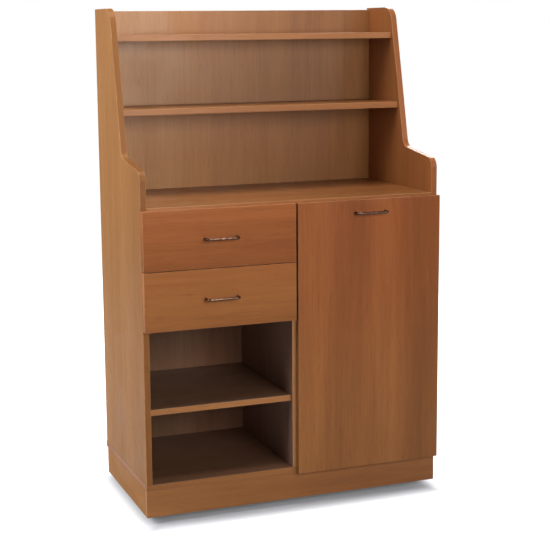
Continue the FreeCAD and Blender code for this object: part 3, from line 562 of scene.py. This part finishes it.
@dataclass(frozen=True)
class CoatedMetal:
    """Steel under a thin finish, such as zinc plating or bronze lacquer.

    It gives the eye a clouded metal: a main tone and a second tone in patches of a few
    millimetres, with the gloss broken in the same places.
    """

    name: str
    main: str
    second: str
    gloss: float                      # roughness of a patch of the main tone
    patch: float                      # mm
    patch_noise: Span = (0.36, 0.64)  # noise at which a patch begins and is full
    scratch: float = 0.9              # mm; 0.05 mm in truth, coarse enough to show
    scratch_depth: float = 0.1        # mm
    scratched: float = 0.16           # how much the scratches change the roughness
    clouded: float = 0.08             # how much rougher the second tone is

    def material(self) -> Material:
        """Build the metal's material.

        Returns:
            The material.
        """
        material, tree, output = blank_material(self.name)
        place = add_node(tree, "TexCoord").outputs["Object"]
        clouds = add_node(tree, "TexNoise", {
            "Vector": place, "Scale": noise_scale(self.patch), "Detail": 5.0,
            "Roughness": 0.6}).outputs[0]
        share = add_node(tree, "MapRange", {
            "Value": clouds, **between(self.patch_noise)}).outputs[0]
        colour = add_node(tree, "Mix", {
            0: share, 6: linear(self.main), 7: linear(self.second)},
            data_type="RGBA").outputs[2]
        lines = add_node(tree, "TexNoise", {
            "Vector": place, "Scale": noise_scale(self.scratch),
            "Detail": 2.0}).outputs[0]
        rough = add_node(tree, "Math", {
            0: lines, 1: self.scratched, 2: self.gloss - self.scratched / 2},
            operation="MULTIPLY_ADD").outputs[0]
        rough = add_node(tree, "Math", {
            0: share, 1: self.clouded, 2: rough}, operation="MULTIPLY_ADD").outputs[0]
        bump = add_node(tree, "Bump", {
            "Height": lines, "Strength": 0.12, "Distance": self.scratch_depth * MM})
        shader = add_node(tree, "BsdfPrincipled", {
            "Base Color": colour, "Metallic": 1.0, "Roughness": rough,
            "Normal": bump.outputs[0]})
        tree.links.new(shader.outputs[0], output.inputs["Surface"])
        return material


@dataclass(frozen=True)
class MouldedPlastic:
    """Moulded plastic or rubber with a fine eroded texture and some dust in it.

    It gives the eye an even, dull skin that is paler and duller where dust has settled.
    """

    name: str
    colour: str
    dust: str
    gloss: float                      # roughness where it is clean
    texture: float                    # mm, grain of the mould
    texture_depth: float = 0.05       # mm
    dust_scale: float = 55.0          # dusty places, per metre
    dust_noise: Span = (0.42, 0.70)   # noise at which dust begins and is full
    dusty: float = 0.25               # how much dust hides of the colour
    dulled: float = 0.4               # how much rougher full dust is

    def material(self) -> Material:
        """Build the plastic's material.

        Returns:
            The material.
        """
        material, tree, output = blank_material(self.name)
        place = add_node(tree, "TexCoord").outputs["Object"]
        settled = add_node(tree, "TexNoise", {
            "Vector": place, "Scale": self.dust_scale, "Detail": 5.0,
            "Roughness": 0.65}).outputs[0]
        share = add_node(tree, "MapRange", {
            "Value": settled, **between(self.dust_noise),
            "To Max": self.dusty}).outputs[0]
        colour = add_node(tree, "Mix", {
            0: share, 6: linear(self.colour), 7: linear(self.dust)},
            data_type="RGBA").outputs[2]
        grain = add_node(tree, "TexVoronoi", {
            "Vector": place, "Scale": 1.0 / (self.texture * MM)}).outputs[0]
        rough = add_node(tree, "Math", {
            0: share, 1: self.dulled, 2: self.gloss},
            operation="MULTIPLY_ADD").outputs[0]
        bump = add_node(tree, "Bump", {
            "Height": grain, "Strength": 0.2, "Distance": self.texture_depth * MM})
        shader = add_node(tree, "BsdfPrincipled", {
            "Base Color": colour, "Roughness": rough, "Normal": bump.outputs[0]})
        tree.links.new(shader.outputs[0], output.inputs["Surface"])
        return material


ZINC_PLATED_STEEL = CoatedMetal(
    "zinc_plated_pressed_steel", "#B9BDC0", "#CFCBB8", 0.34, 6.0)
BRONZE_LACQUERED_ROD = CoatedMetal(
    "bronze_lacquered_steel_rod", "#7C5C4A", "#573E32", 0.26, 5.0)
TYRE_RUBBER = MouldedPlastic(
    "matt_black_moulded_rubber", "#18181A", "#6E6B66", 0.62, 0.9)
WHEEL_CORE = MouldedPlastic(
    "grey_moulded_polypropylene", "#74777A", "#98948C", 0.42, 1.2)
CATCH_PLASTIC = MouldedPlastic("brown_moulded_acetal", "#51381F", "#7A6650", 0.40, 1.0)


# -------------------------------- pieces


@dataclass
class BentHandle:
    """A bow handle bent from one rod, with its two feet on a front."""

    name: str
    node: str
    body: str
    middle: float                     # mm, along X
    height: float                     # mm
    front_face: float = -230.5        # mm
    centres: float = 96.0
    rod: float = 8.0
    projection: float = 28.0
    bend: float = 9.0                 # radius of the rod's centre line
    sides: int = 24
    bend_steps: int = 8
    weld: float = 0.01                # mm, points nearer than this are merged
    smooth: float = 40.0              # degrees, blunter edges than this look round

    def build(self, finish: Material) -> None:
        """Bend the rod: extrude, spin, extrude, spin and extrude one round end.

        Args:
            finish: the rod's material.
        """
        deselect()
        left = (self.middle - self.centres / 2) * MM
        right = (self.middle + self.centres / 2) * MM
        z, face = self.height * MM, self.front_face * MM
        bar = face - (self.projection - self.rod / 2) * MM
        radius = self.bend * MM
        bpy.ops.mesh.primitive_circle_add(
            vertices=self.sides, radius=self.rod / 2 * MM, fill_type="NGON",
            location=(left, face, z), rotation=(math.pi / 2, 0, 0))
        piece = bpy.context.object
        piece.name = self.name
        bpy.ops.object.transform_apply(location=True, rotation=True, scale=True)
        bpy.ops.object.mode_set(mode="EDIT")
        bpy.ops.mesh.select_mode(type="FACE")
        bpy.ops.mesh.select_all(action="SELECT")
        self._push((0, bar + radius - face, 0))
        self._turn((left + radius, bar + radius, z))
        self._push((right - left - 2 * radius, 0, 0))
        self._turn((right - radius, bar + radius, z))
        self._push((0, face - bar - radius, 0))
        bpy.ops.mesh.select_all(action="SELECT")
        bpy.ops.mesh.remove_doubles(threshold=self.weld * MM)
        bpy.ops.mesh.normals_make_consistent(inside=False)
        bpy.ops.object.mode_set(mode="OBJECT")
        bpy.ops.object.shade_smooth_by_angle(angle=math.radians(self.smooth))
        piece.data.materials.append(finish)
        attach(piece, self.body)
        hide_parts(self.node)
        log.info("%s is bent from one rod", self.name)

    def _push(self, move: Triple) -> None:
        """Extrude the rod's selected end by a move in metres."""
        bpy.ops.mesh.extrude_region_move(TRANSFORM_OT_translate={"value": move})

    def _turn(self, centre: Triple) -> None:
        """Spin the rod's selected end a quarter round a centre."""
        bpy.ops.mesh.spin(
            steps=self.bend_steps, angle=-math.pi / 2, center=centre, axis=(0, 0, 1))


@dataclass
class CastorWheel:
    """A wheel with a rubber tyre on a ribbed core with a raised hub, sized in mm."""

    diameter: float = 75.0
    width: float = 24.0
    hub_width: float = 28.0
    tyre: float = 10.0
    tread_round: float = 4.0
    tread_steps: int = 4
    rim: float = 1.5
    dish: float = 3.0
    hub: float = 13.0                 # radius
    bore: float = 4.2                 # radius
    sides: int = 48
    rib_every: int = 8                # sides
    smooth: float = 35.0              # degrees, blunter edges than this look round
    near: float = 0.01                # closer than this counts as touching
    flat: float = 0.9                 # how much of a flat's normal is along the axle
    core_area: float = 1e-4           # square metres; tyre and rim have smaller flats

    def build(self, tyre: Material, core: Material) -> Piece:
        """Model one wheel round Z at the origin.

        Args:
            tyre: the tread's rubber.
            core: the plastic of rim, web and hub.

        Returns:
            The wheel, still without a place.
        """
        deselect()
        half = self.width / 2 * MM
        core_radius = self.diameter / 2 - self.tyre
        web_radius = (core_radius - self.rim) * MM
        bpy.ops.mesh.primitive_cylinder_add(
            vertices=self.sides, radius=self.diameter / 2 * MM, depth=2 * half,
            location=(0, 0, 0))
        wheel = bpy.context.object
        wheel.name = "castor_wheel_pattern"
        wheel.data.materials.append(tyre)
        wheel.data.materials.append(core)
        pick_faces(wheel, self._is_flat)
        bpy.ops.mesh.inset(thickness=self.tyre * MM, depth=0)
        bpy.ops.mesh.inset(thickness=self.rim * MM, depth=0)
        bpy.ops.object.mode_set(mode="OBJECT")
        for face in wheel.data.polygons:
            inside = self._reach(face) < core_radius * MM
            face.material_index = int(self._is_flat(face) and inside)
        pick_faces(
            wheel, lambda face: face.area > self.core_area and self._is_flat(face))
        bpy.ops.mesh.inset(thickness=web_radius - self.hub * MM, depth=0)
        pick_faces(wheel, lambda face: self._is_web(face, web_radius))
        bpy.ops.mesh.extrude_region_shrink_fatten(TRANSFORM_OT_shrink_fatten={
            "value": -self.dish * MM})
        pick_faces(wheel, lambda face: len(face.vertices) == self.sides)
        bpy.ops.mesh.extrude_region_shrink_fatten(TRANSFORM_OT_shrink_fatten={
            "value": (self.hub_width - self.width) / 2 * MM})
        bpy.ops.mesh.inset(thickness=(self.hub - self.bore) * MM, depth=0)
        bpy.ops.object.mode_set(mode="OBJECT")
        self._round_tread(wheel, half)
        bpy.ops.object.shade_smooth_by_angle(angle=math.radians(self.smooth))
        return wheel

    def _is_flat(self, face: Face) -> bool:
        """Tell whether a face looks along the axle."""
        return abs(face.normal.z) > self.flat

    def _reach(self, face: Face) -> float:
        """Measure how far a face's middle is from the axle, in metres."""
        return math.hypot(face.center.x, face.center.y)

    def _is_web(self, face: Face, rim: float) -> bool:
        """Tell whether a face is web and not rib.

        Args:
            face: a face of the wheel.
            rim: the rim's inner radius in metres.

        Returns:
            True between hub and rim, except on every rib.
        """
        turn = math.atan2(face.center.y, face.center.x) % (2 * math.pi)
        count = int(turn / (2 * math.pi / self.sides))
        between_rings = self.hub * MM < self._reach(face) < rim
        return self._is_flat(face) and between_rings and count % self.rib_every != 0

    def _round_tread(self, wheel: Piece, half: float) -> None:
        """Round the two outer corners of the tyre.

        Args:
            wheel: the wheel being modelled.
            half: half of its width in metres.
        """
        clear_selection("EDGE")
        near = self.near * MM
        outside = self.diameter / 2 * MM - near
        points = wheel.data.vertices
        for edge in wheel.data.edges:
            ends = [points[i].co for i in edge.vertices]
            on_rim = all(
                math.hypot(p.x, p.y) > outside and abs(abs(p.z) - half) < near
                for p in ends)
            edge.select = on_rim and abs(ends[0].z - ends[1].z) < near
        bpy.ops.object.mode_set(mode="EDIT")
        bpy.ops.mesh.bevel(offset=self.tread_round * MM, segments=self.tread_steps)
        bpy.ops.object.mode_set(mode="OBJECT")

    def fit(self, pattern: Piece, corner: str, axis: Vector, centre: Vector) -> None:
        """Copy the wheel, turn it onto its axle and move it into its fork.

        Args:
            pattern: the wheel modelled at the origin.
            corner: which castor it belongs to.
            axis: the axle's direction.
            centre: the axle's middle.
        """
        deselect()
        pattern.select_set(True)
        bpy.context.view_layer.objects.active = pattern
        bpy.ops.object.duplicate(linked=False)
        wheel = bpy.context.object
        wheel.name = f"tyred_wheel_{corner}"
        turn = Vector(Axis.Z.value).rotation_difference(axis).to_matrix().to_4x4()
        wheel.matrix_world = Matrix.Translation(centre) @ turn
        bpy.context.view_layer.update()
        bpy.ops.object.transform_apply(location=True, rotation=True, scale=True)
        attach(wheel, f"wheel_{corner}")
        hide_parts(f"castor_wheel_{corner}")
        log.info("%s is on its axle", wheel.name)


# -------------------------------- figures of the boards


# painted sheen: the left panel's outer face is paler towards the rear
LEFT_SIDE_PAINTED_SHEEN = FigureAndPaintedLight(Axis.Y, ((-230, 0.36), (0, 0.49), (230, 0.60)))
RIGHT_SIDE_FIGURE = FigureAndPaintedLight(Axis.Y, (
    (-230, 0.38), (-60, 0.46), (110, 0.58), (230, 0.70)))
# painted shade: the right panel darkens towards its top
RIGHT_SIDE_PAINTED_SHADE = FigureAndPaintedLight(Axis.Z, ((0, 0.50), (1100, 0.50), (1475, 0.22)))
# painted light and shade: the hutch back's print is paler at the left, where sheen and light
# fall, and darker at the right, where the right panel shades it
HUTCH_PAINTED_LIGHT_AND_SHADE = FigureAndPaintedLight(Axis.X, (
    (-444, 0.98), (-260, 0.80), (-30, 0.60), (190, 0.28), (444, 0.20)))
# painted light: worktop and hutch shelves are paler at the left, where the light falls stronger,
# and darker to the right
SHELF_PAINTED_LIGHT = FigureAndPaintedLight(Axis.X, ((-444, 0.80), (-150, 0.48), (444, 0.22)))
# painted light: the plinth is paler at the left, where the light falls stronger
PLINTH_PAINTED_LIGHT = FigureAndPaintedLight(Axis.X, ((-460, 0.72), (-200, 0.52), (460, 0.44)))
# partly a band of the print and partly painted light: the upper drawer front is paler towards
# its top, where light from above falls
UPPER_DRAWER_BAND_AND_PAINTED_LIGHT = FigureAndPaintedLight(Axis.Z, (
    (743, 0.24), (800, 0.36), (860, 0.60), (914, 0.72)))
LOWER_DRAWER_FIGURE = FigureAndPaintedLight(Axis.Z, ((570, 0.34), (650, 0.84), (741, 0.62)))
# painted light: the drawer fronts are paler at the left, where the light falls stronger
DRAWER_PAINTED_LIGHT = FigureAndPaintedLight(Axis.X, ((-462, 0.60), (-230, 0.50), (0, 0.44)))
TALL_FRONT_FIGURE = FigureAndPaintedLight(Axis.X, (
    (3, 0.54), (80, 0.56), (155, 0.24), (205, 0.38), (275, 0.60), (340, 0.39),
    (395, 0.18), (462, 0.38)))
LEFT_SIDE_WARMING = FigureAndPaintedLight(Axis.Z, ((0, 0.95), (400, 0.70), (900, 0.10), (1475, 0.0)))
RIGHT_SIDE_WARMING = FigureAndPaintedLight(Axis.Z, (
    (0, 0.05), (600, 0.15), (900, 0.45), (1150, 0.30), (1475, 0.10)))
DRAWER_WARMING = FigureAndPaintedLight(Axis.Z, ((570, 0.28), (741, 0.36), (742, 0.80), (914, 0.95)))
TALL_FRONT_WARMING = FigureAndPaintedLight(Axis.Z, ((60, 0.0), (300, 0.08), (560, 0.55), (914, 0.95)))


# -------------------------------- sub-assemblies


@dataclass
class Carcass:
    """Side panels, boards, backs, shelves and plinth, with their fittings."""

    boards: tuple[tuple[tuple[str, ...], WoodFoilBoard], ...] = (
        (("side_panel_left",), WoodFoilBoard(
            "cherry_foil_upright_left", Axis.Z, Axis.X, CHERRY_SIDE_INK,
            figures_and_painted_light=(LEFT_SIDE_PAINTED_SHEEN,), warming=LEFT_SIDE_WARMING, warmth=0.15,
            sheen=0.36, gloss=0.12, band_tone=-0.05, band_ink=CHERRY_CARCASS_INK)),
        (("side_panel_right",), WoodFoilBoard(
            "cherry_foil_upright_right", Axis.Z, Axis.X, CHERRY_FRONT_INK, cut=340,
            figures_and_painted_light=(RIGHT_SIDE_FIGURE, RIGHT_SIDE_PAINTED_SHADE), warming=RIGHT_SIDE_WARMING,
            gloss=0.18, band_tone=0.17)),
        (("centre_divider",), WoodFoilBoard(
            "cherry_foil_divider", Axis.Z, Axis.X, DIVIDER_PAINTED_SHEEN_INK, cut=340, band_tone=0.36,
            band_ink=CHERRY_CARCASS_INK)),
        (("hutch_back_panel",), WoodFoilBoard(
            "cherry_foil_hutch_back", Axis.Z, Axis.Y, CHERRY_HUTCH_PAINTED_LIGHT_INK, cut=120,
            figures_and_painted_light=(HUTCH_PAINTED_LIGHT_AND_SHADE,), warmth=0.15, gloss=0.27)),
        (("lower_back_panel",), WoodFoilBoard(
            "cherry_foil_lower_back", Axis.Z, Axis.Y, PAINTED_SHADE_UPRIGHT_INK, cut=610)),
        (("worktop",), WoodFoilBoard(
            "cherry_foil_worktop", Axis.X, Axis.Z, figures_and_painted_light=(SHELF_PAINTED_LIGHT,),
            band_tone=0.30)),
        (("drawer_bay_floor", "compartment_shelf"), WoodFoilBoard(
            "cherry_foil_compartment", Axis.X, Axis.Z, PAINTED_SHADE_LYING_INK, band_tone=0.20,
            band_ink=CHERRY_CARCASS_INK)),
        (("bottom_board",), WoodFoilBoard(
            "cherry_foil_bottom_board", Axis.X, Axis.Z, PAINTED_SHADE_LYING_INK, cut=30,
            trim=0.15, band_ink=CHERRY_CARCASS_INK)),
        (("hutch_shelf_upper", "hutch_shelf_lower"), WoodFoilBoard(
            "cherry_foil_hutch_shelf", Axis.X, Axis.Z, cut=50, figures_and_painted_light=(SHELF_PAINTED_LIGHT,),
            band_tone=0.28)),
        (("plinth_front", "plinth_rear"), WoodFoilBoard(
            "cherry_foil_plinth", Axis.X, Axis.Y, cut=75, figures_and_painted_light=(PLINTH_PAINTED_LIGHT,),
            warmth=0.2, trim=0.0)),
        (("plinth_left", "plinth_right"), WoodFoilBoard(
            "cherry_foil_plinth_side", Axis.Y, Axis.X, CHERRY_PLINTH_INK, cut=75,
            warmth=0.15, sheen=0.36, gloss=0.12, trim=0.0)),
    )
    fittings: tuple[str, ...] = (
        "cam_fittings", "carcass_screws", "shelf_pins", "plinth_brackets",
        "hinge_fixed_leaf", "hinge_pin", "stop_pins", "runner_cabinet_members")

    def dress(self, steel: Material) -> None:
        """Dress every board with the run of grain that it is cut with.

        Args:
            steel: the fittings' material.
        """
        for nodes, board in self.boards:
            dress(nodes, board.material())
        dress(self.fittings, steel)
        dress(("magnetic_catch",), CATCH_PLASTIC.material())


@dataclass
class Drawer:
    """A drawer box on ball runners behind an applied front."""

    level: str
    front: FigureAndPaintedLight
    handle_height: float              # mm
    cut: float                        # mm that its boards' print lies further on
    handle_middle: float = -233.0     # mm, along X
    fittings: tuple[str, ...] = ("fixings", "runner_inner", "runner_middle")

    def build(self, steel: Material, bronze: Material) -> None:
        """Dress the drawer's boards and bend its handle.

        Args:
            steel: the runners' and screws' material.
            bronze: the handle's material.
        """
        drawer = f"drawer_{self.level}"
        dress((f"{drawer}_front",), WoodFoilBoard(
            f"cherry_foil_{self.level}_drawer_front", Axis.X, Axis.Y, CHERRY_FRONT_INK,
            self.cut, figures_and_painted_light=(self.front, DRAWER_PAINTED_LIGHT), warming=DRAWER_WARMING,
            warmth=0.15, gloss=0.09).material())
        for sides, name, grain, thickness in (
            (("side_left", "side_right"), "side", Axis.Y, Axis.X),
            (("rear",), "rear", Axis.X, Axis.Y),
            (("bottom",), "bottom", Axis.X, Axis.Z),
        ):
            dress([f"{drawer}_{side}" for side in sides], WoodFoilBoard(
                f"beech_foil_{self.level}_box_{name}", grain, thickness, BEECH_INK,
                self.cut).material())
        dress([f"{drawer}_{part}" for part in self.fittings], steel)
        BentHandle(
            f"bow_handle_{self.level}_drawer", f"{drawer}_handle", drawer,
            self.handle_middle, self.handle_height).build(bronze)


@dataclass
class TiltBin:
    """The tall front with the bin that tilts out behind it."""

    front: WoodFoilBoard = WoodFoilBoard(
        "cherry_foil_tall_front", Axis.Z, Axis.Y, CHERRY_FRONT_INK, cut=210,
        figures_and_painted_light=(TALL_FRONT_FIGURE,), warming=TALL_FRONT_WARMING, warmth=0.15,
        gloss=0.13)
    handle_middle: float = 233.0      # mm, along X
    handle_height: float = 876.0      # mm

    def build(self, steel: Material, bronze: Material) -> None:
        """Dress the bin's boards and bend its handle.

        Args:
            steel: the hinge's, plate's and screws' material.
            bronze: the handle's material.
        """
        dress(("bin_front",), self.front.material())
        for sides, name, grain, thickness in (
            (("bin_side_left", "bin_side_right"), "side", Axis.Z, Axis.X),
            (("bin_rear",), "rear", Axis.Z, Axis.Y),
            (("bin_floor",), "floor", Axis.X, Axis.Z),
        ):
            dress(sides, WoodFoilBoard(
                f"beech_foil_bin_{name}", grain, thickness, BEECH_INK).material())
        dress(("bin_fixings", "bin_hinge_leaf", "bin_strike_plate"), steel)
        BentHandle(
            "bow_handle_tall_front", "bin_handle", "bin", self.handle_middle,
            self.handle_height).build(bronze)


@dataclass
class Castors:
    """Four swivel castors behind the plinth."""

    corners: tuple[str, ...] = ("front_left", "front_right", "rear_left", "rear_right")

    def build(self, steel: Material) -> None:
        """Dress plates and forks and fit a modelled wheel in each fork.

        Args:
            steel: the pressed parts' material.
        """
        dress(("castor_plates",), steel)
        dress([f"castor_fork_{corner}" for corner in self.corners], steel)
        wheel = CastorWheel()
        pattern = wheel.build(TYRE_RUBBER.material(), WHEEL_CORE.material())
        joints = {joint["name"]: joint for joint in frame["joints"]}
        for corner in self.corners:
            axle = joints[f"wheel_spin_{corner}"]
            wheel.fit(pattern, corner, Vector(axle["axis"]), Vector(axle["pos_m"]))
        bpy.data.objects.remove(pattern, do_unlink=True)


# -------------------------------- studio


@dataclass(frozen=True)
class Softbox:
    """A soft lamp, with its sizes in metres."""

    name: str
    place: Triple
    aim: Triple
    width: float
    height: float
    power: float                      # watts

    def hang(self) -> None:
        """Hang the lamp and turn it to the point that it looks at."""
        deselect()
        bpy.ops.object.light_add(type="AREA", location=self.place)
        lamp = bpy.context.object
        lamp.name = self.name
        way = Vector(self.aim) - Vector(self.place)
        lamp.rotation_euler = way.to_track_quat("-Z", "Y").to_euler()
        lamp.data.shape = "RECTANGLE"
        lamp.data.size, lamp.data.size_y = self.width, self.height
        lamp.data.energy = self.power


SOFTBOXES = (
    Softbox("front_softbox", (0.4, -3.0, 1.6), (0.0, 0.0, 1.1), 1.2, 1.1, 46.5),
    Softbox("right_front_softbox", (1.9, -2.6, 1.7), (0.0, 0.0, 0.9), 1.0, 1.2, 13.0),
    Softbox("low_front_fill", (-0.6, -3.0, 1.0), (0.0, 0.0, 1.0), 1.4, 0.7, 6.0),
    Softbox("left_softbox", (-3.1, 0.1, 2.0), (0.0, 0.0, 0.9), 1.6, 1.6, 121.0),
    Softbox("top_softbox", (0.0, -0.4, 3.4), (0.0, 0.0, 0.8), 1.4, 1.4, 49.0),
    Softbox("rim_softbox", (1.6, 1.9, 2.6), (0.4, 0.0, 1.1), 1.0, 0.9, 42.0),
    Softbox("right_fill", (3.3, 0.7, 1.3), (0.0, 0.0, 0.8), 1.6, 1.6, 75.0),
    Softbox("rear_fill", (1.3, 3.4, 1.5), (0.0, 0.0, 0.8), 1.6, 1.6, 75.0),
)


@dataclass
class StudioCamera:
    """The camera, in front of the object, to its left and a little above."""

    stand: Triple = (-1.44703, -3.78036, 1.40976)  # metres
    yaw: float = 20.16                # degrees, turned to the right
    pitch: float = 9.24               # degrees, tipped down
    roll: float = -0.60               # degrees
    focal_length: float = 1339.76     # pixels
    shift: Span = (24.24, -27.5)      # pixels, right and up
    sensor: float = 36.0              # mm

    def build(self) -> None:
        """Stand the camera and make it the scene's."""
        yaw, pitch, roll = map(math.radians, (self.yaw, self.pitch, self.roll))
        ahead = Vector((
            math.sin(yaw) * math.cos(pitch), math.cos(yaw) * math.cos(pitch),
            -math.sin(pitch)))
        right = Vector((math.cos(yaw), -math.sin(yaw), 0.0))
        up = right.cross(ahead)
        across = math.cos(roll) * right + math.sin(roll) * up
        upward = math.cos(roll) * up - math.sin(roll) * right
        deselect()
        bpy.ops.object.camera_add(location=(0, 0, 0))
        camera = bpy.context.object
        camera.name = "studio_camera"
        turn = Matrix((across, upward, -ahead)).transposed().to_4x4()
        camera.matrix_world = Matrix.Translation(self.stand) @ turn
        camera.data.sensor_fit = "HORIZONTAL"
        camera.data.sensor_width = self.sensor
        camera.data.lens = self.focal_length / IMAGE_SIZE * self.sensor
        camera.data.shift_x = self.shift[0] / IMAGE_SIZE
        camera.data.shift_y = self.shift[1] / IMAGE_SIZE
        bpy.context.scene.camera = camera


@dataclass
class Studio:
    """White floor, pale surroundings, soft lamps and the camera."""

    ambient: float = 0.06             # level of the room's even light
    floor_size: float = 60.0          # metres
    floor_paper: str = "#AAACB2"      # what the lamps light, and the shadow's colour
    painted_shade_reach: Span = (-0.04, 0.055)       # metres past the CAD box over which the painted shade gives way to white
    glow_in_painted_shade: float = 0.10         # how much of the glow is left in the painted shade under the object
    gloss_share: float = 0.10         # how much of the white floor gloss shows
    front_to_rear: Span = (-0.55, 0.15)  # directions, by their Y
    room_gloss: Span = (0.05, 0.22)   # the room that gloss shows in these directions

    def build(self) -> None:
        """Set up everything that isn't part of the object."""
        bpy.context.scene.view_settings.view_transform = "Standard"
        self._floor()
        self._surroundings()
        for softbox in SOFTBOXES:
            softbox.hang()
        StudioCamera().build()

    def _shown(self, tree: Tree) -> Socket:
        """Tell rays that show the backdrop from rays that only light the object.

        Args:
            tree: the floor's tree.

        Returns:
            1 for camera and transmission rays, and the gloss share for glossy rays.
        """
        path = add_node(tree, "LightPath")
        seen = add_node(tree, "Math", {
            0: path.outputs["Is Glossy Ray"], 1: self.gloss_share,
            2: path.outputs["Is Camera Ray"]}, operation="MULTIPLY_ADD")
        return add_node(tree, "Math", {
            0: seen.outputs[0], 1: path.outputs["Is Transmission Ray"]},
            operation="MAXIMUM").outputs[0]

    def _floor(self) -> None:
        """Lay a white floor that keeps the object's shadow; its glow dims near the CAD box,
        which paints shade in a band round the footprint.
        """
        deselect()
        bpy.ops.mesh.primitive_plane_add(size=self.floor_size, location=(0, 0, 0))
        floor = bpy.context.object
        floor.name = "studio_floor"
        material, tree, output = blank_material("white_studio_paper")
        place = add_node(tree, "TexCoord").outputs["Object"]
        spot = add_node(tree, "VectorMath", {0: place}, operation="ABSOLUTE").outputs[0]
        beyond = add_node(tree, "VectorMath", {
            0: spot, 1: (CAD_BOX[1][0], -CAD_BOX[0][1], 0.0)},
            operation="SUBTRACT").outputs[0]
        sides = add_node(tree, "SeparateXYZ", {0: beyond})
        away = add_node(tree, "Math", {
            0: sides.outputs["X"], 1: sides.outputs["Y"]},
            operation="MAXIMUM").outputs[0]
        # painted shade: the glow dims near the CAD box, darkening a band round the footprint on
        # top of the real shadow
        glow_with_painted_shade = add_node(tree, "MapRange", {
            "Value": away, **between(self.painted_shade_reach), "To Min": self.glow_in_painted_shade,
            "To Max": 1.0}, interpolation_type="SMOOTHSTEP").outputs[0]
        strength = add_node(tree, "Math", {
            0: glow_with_painted_shade, 1: self._shown(tree)}, operation="MULTIPLY").outputs[0]
        paper = add_node(tree, "BsdfDiffuse", {"Color": linear(self.floor_paper)})
        glow = add_node(tree, "Emission", {
            "Color": linear("#FFFFFF"), "Strength": strength})
        both = add_node(tree, "AddShader", {0: paper.outputs[0], 1: glow.outputs[0]})
        tree.links.new(both.outputs[0], output.inputs["Surface"])
        floor.data.materials.append(material)

    def _surroundings(self) -> None:
        """Make the room: white where it shows, an even soft light on the object."""
        world = bpy.data.worlds.new("studio_room")
        bpy.context.scene.world = world
        world.use_nodes = True
        tree = world.node_tree
        tree.nodes.clear()
        output = add_node(tree, "OutputWorld")
        path = add_node(tree, "LightPath")
        way = add_node(tree, "SeparateXYZ", {
            0: add_node(tree, "TexCoord").outputs["Generated"]})
        mirrored = add_node(tree, "MapRange", {
            "Value": way.outputs["Y"], **between(self.front_to_rear),
            "To Min": self.room_gloss[0], "To Max": self.room_gloss[1]}).outputs[0]
        even = add_node(tree, "Mix", {
            0: path.outputs["Is Glossy Ray"], 2: self.ambient, 3: mirrored},
            data_type="FLOAT").outputs[0]
        clear = add_node(tree, "Math", {
            0: path.outputs["Is Camera Ray"], 1: path.outputs["Is Transmission Ray"]},
            operation="MAXIMUM").outputs[0]
        level = add_node(tree, "Mix", {
            0: clear, 2: even, 3: 1.0}, data_type="FLOAT").outputs[0]
        sky = add_node(tree, "Background", {
            "Color": linear("#FFFFFF"), "Strength": level})
        tree.links.new(sky.outputs[0], output.inputs["Surface"])


def write_sizes() -> None:
    """Update the view layer; no sizes are written."""
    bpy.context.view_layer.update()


def main() -> None:
    """Build the sub-assemblies in order, then the studio."""
    logging.basicConfig(level=logging.INFO, format="%(name)s: %(message)s")
    steel, bronze = ZINC_PLATED_STEEL.material(), BRONZE_LACQUERED_ROD.material()
    Carcass().dress(steel)
    for drawer in (
        Drawer("upper", UPPER_DRAWER_BAND_AND_PAINTED_LIGHT, handle_height=828.5, cut=20),
        Drawer("lower", LOWER_DRAWER_FIGURE, handle_height=655.5, cut=480),
    ):
        drawer.build(steel, bronze)
    TiltBin().build(steel, bronze)
    Castors().build(steel)
    Studio().build()
    write_sizes()


if __name__ == "__main__":
    main()
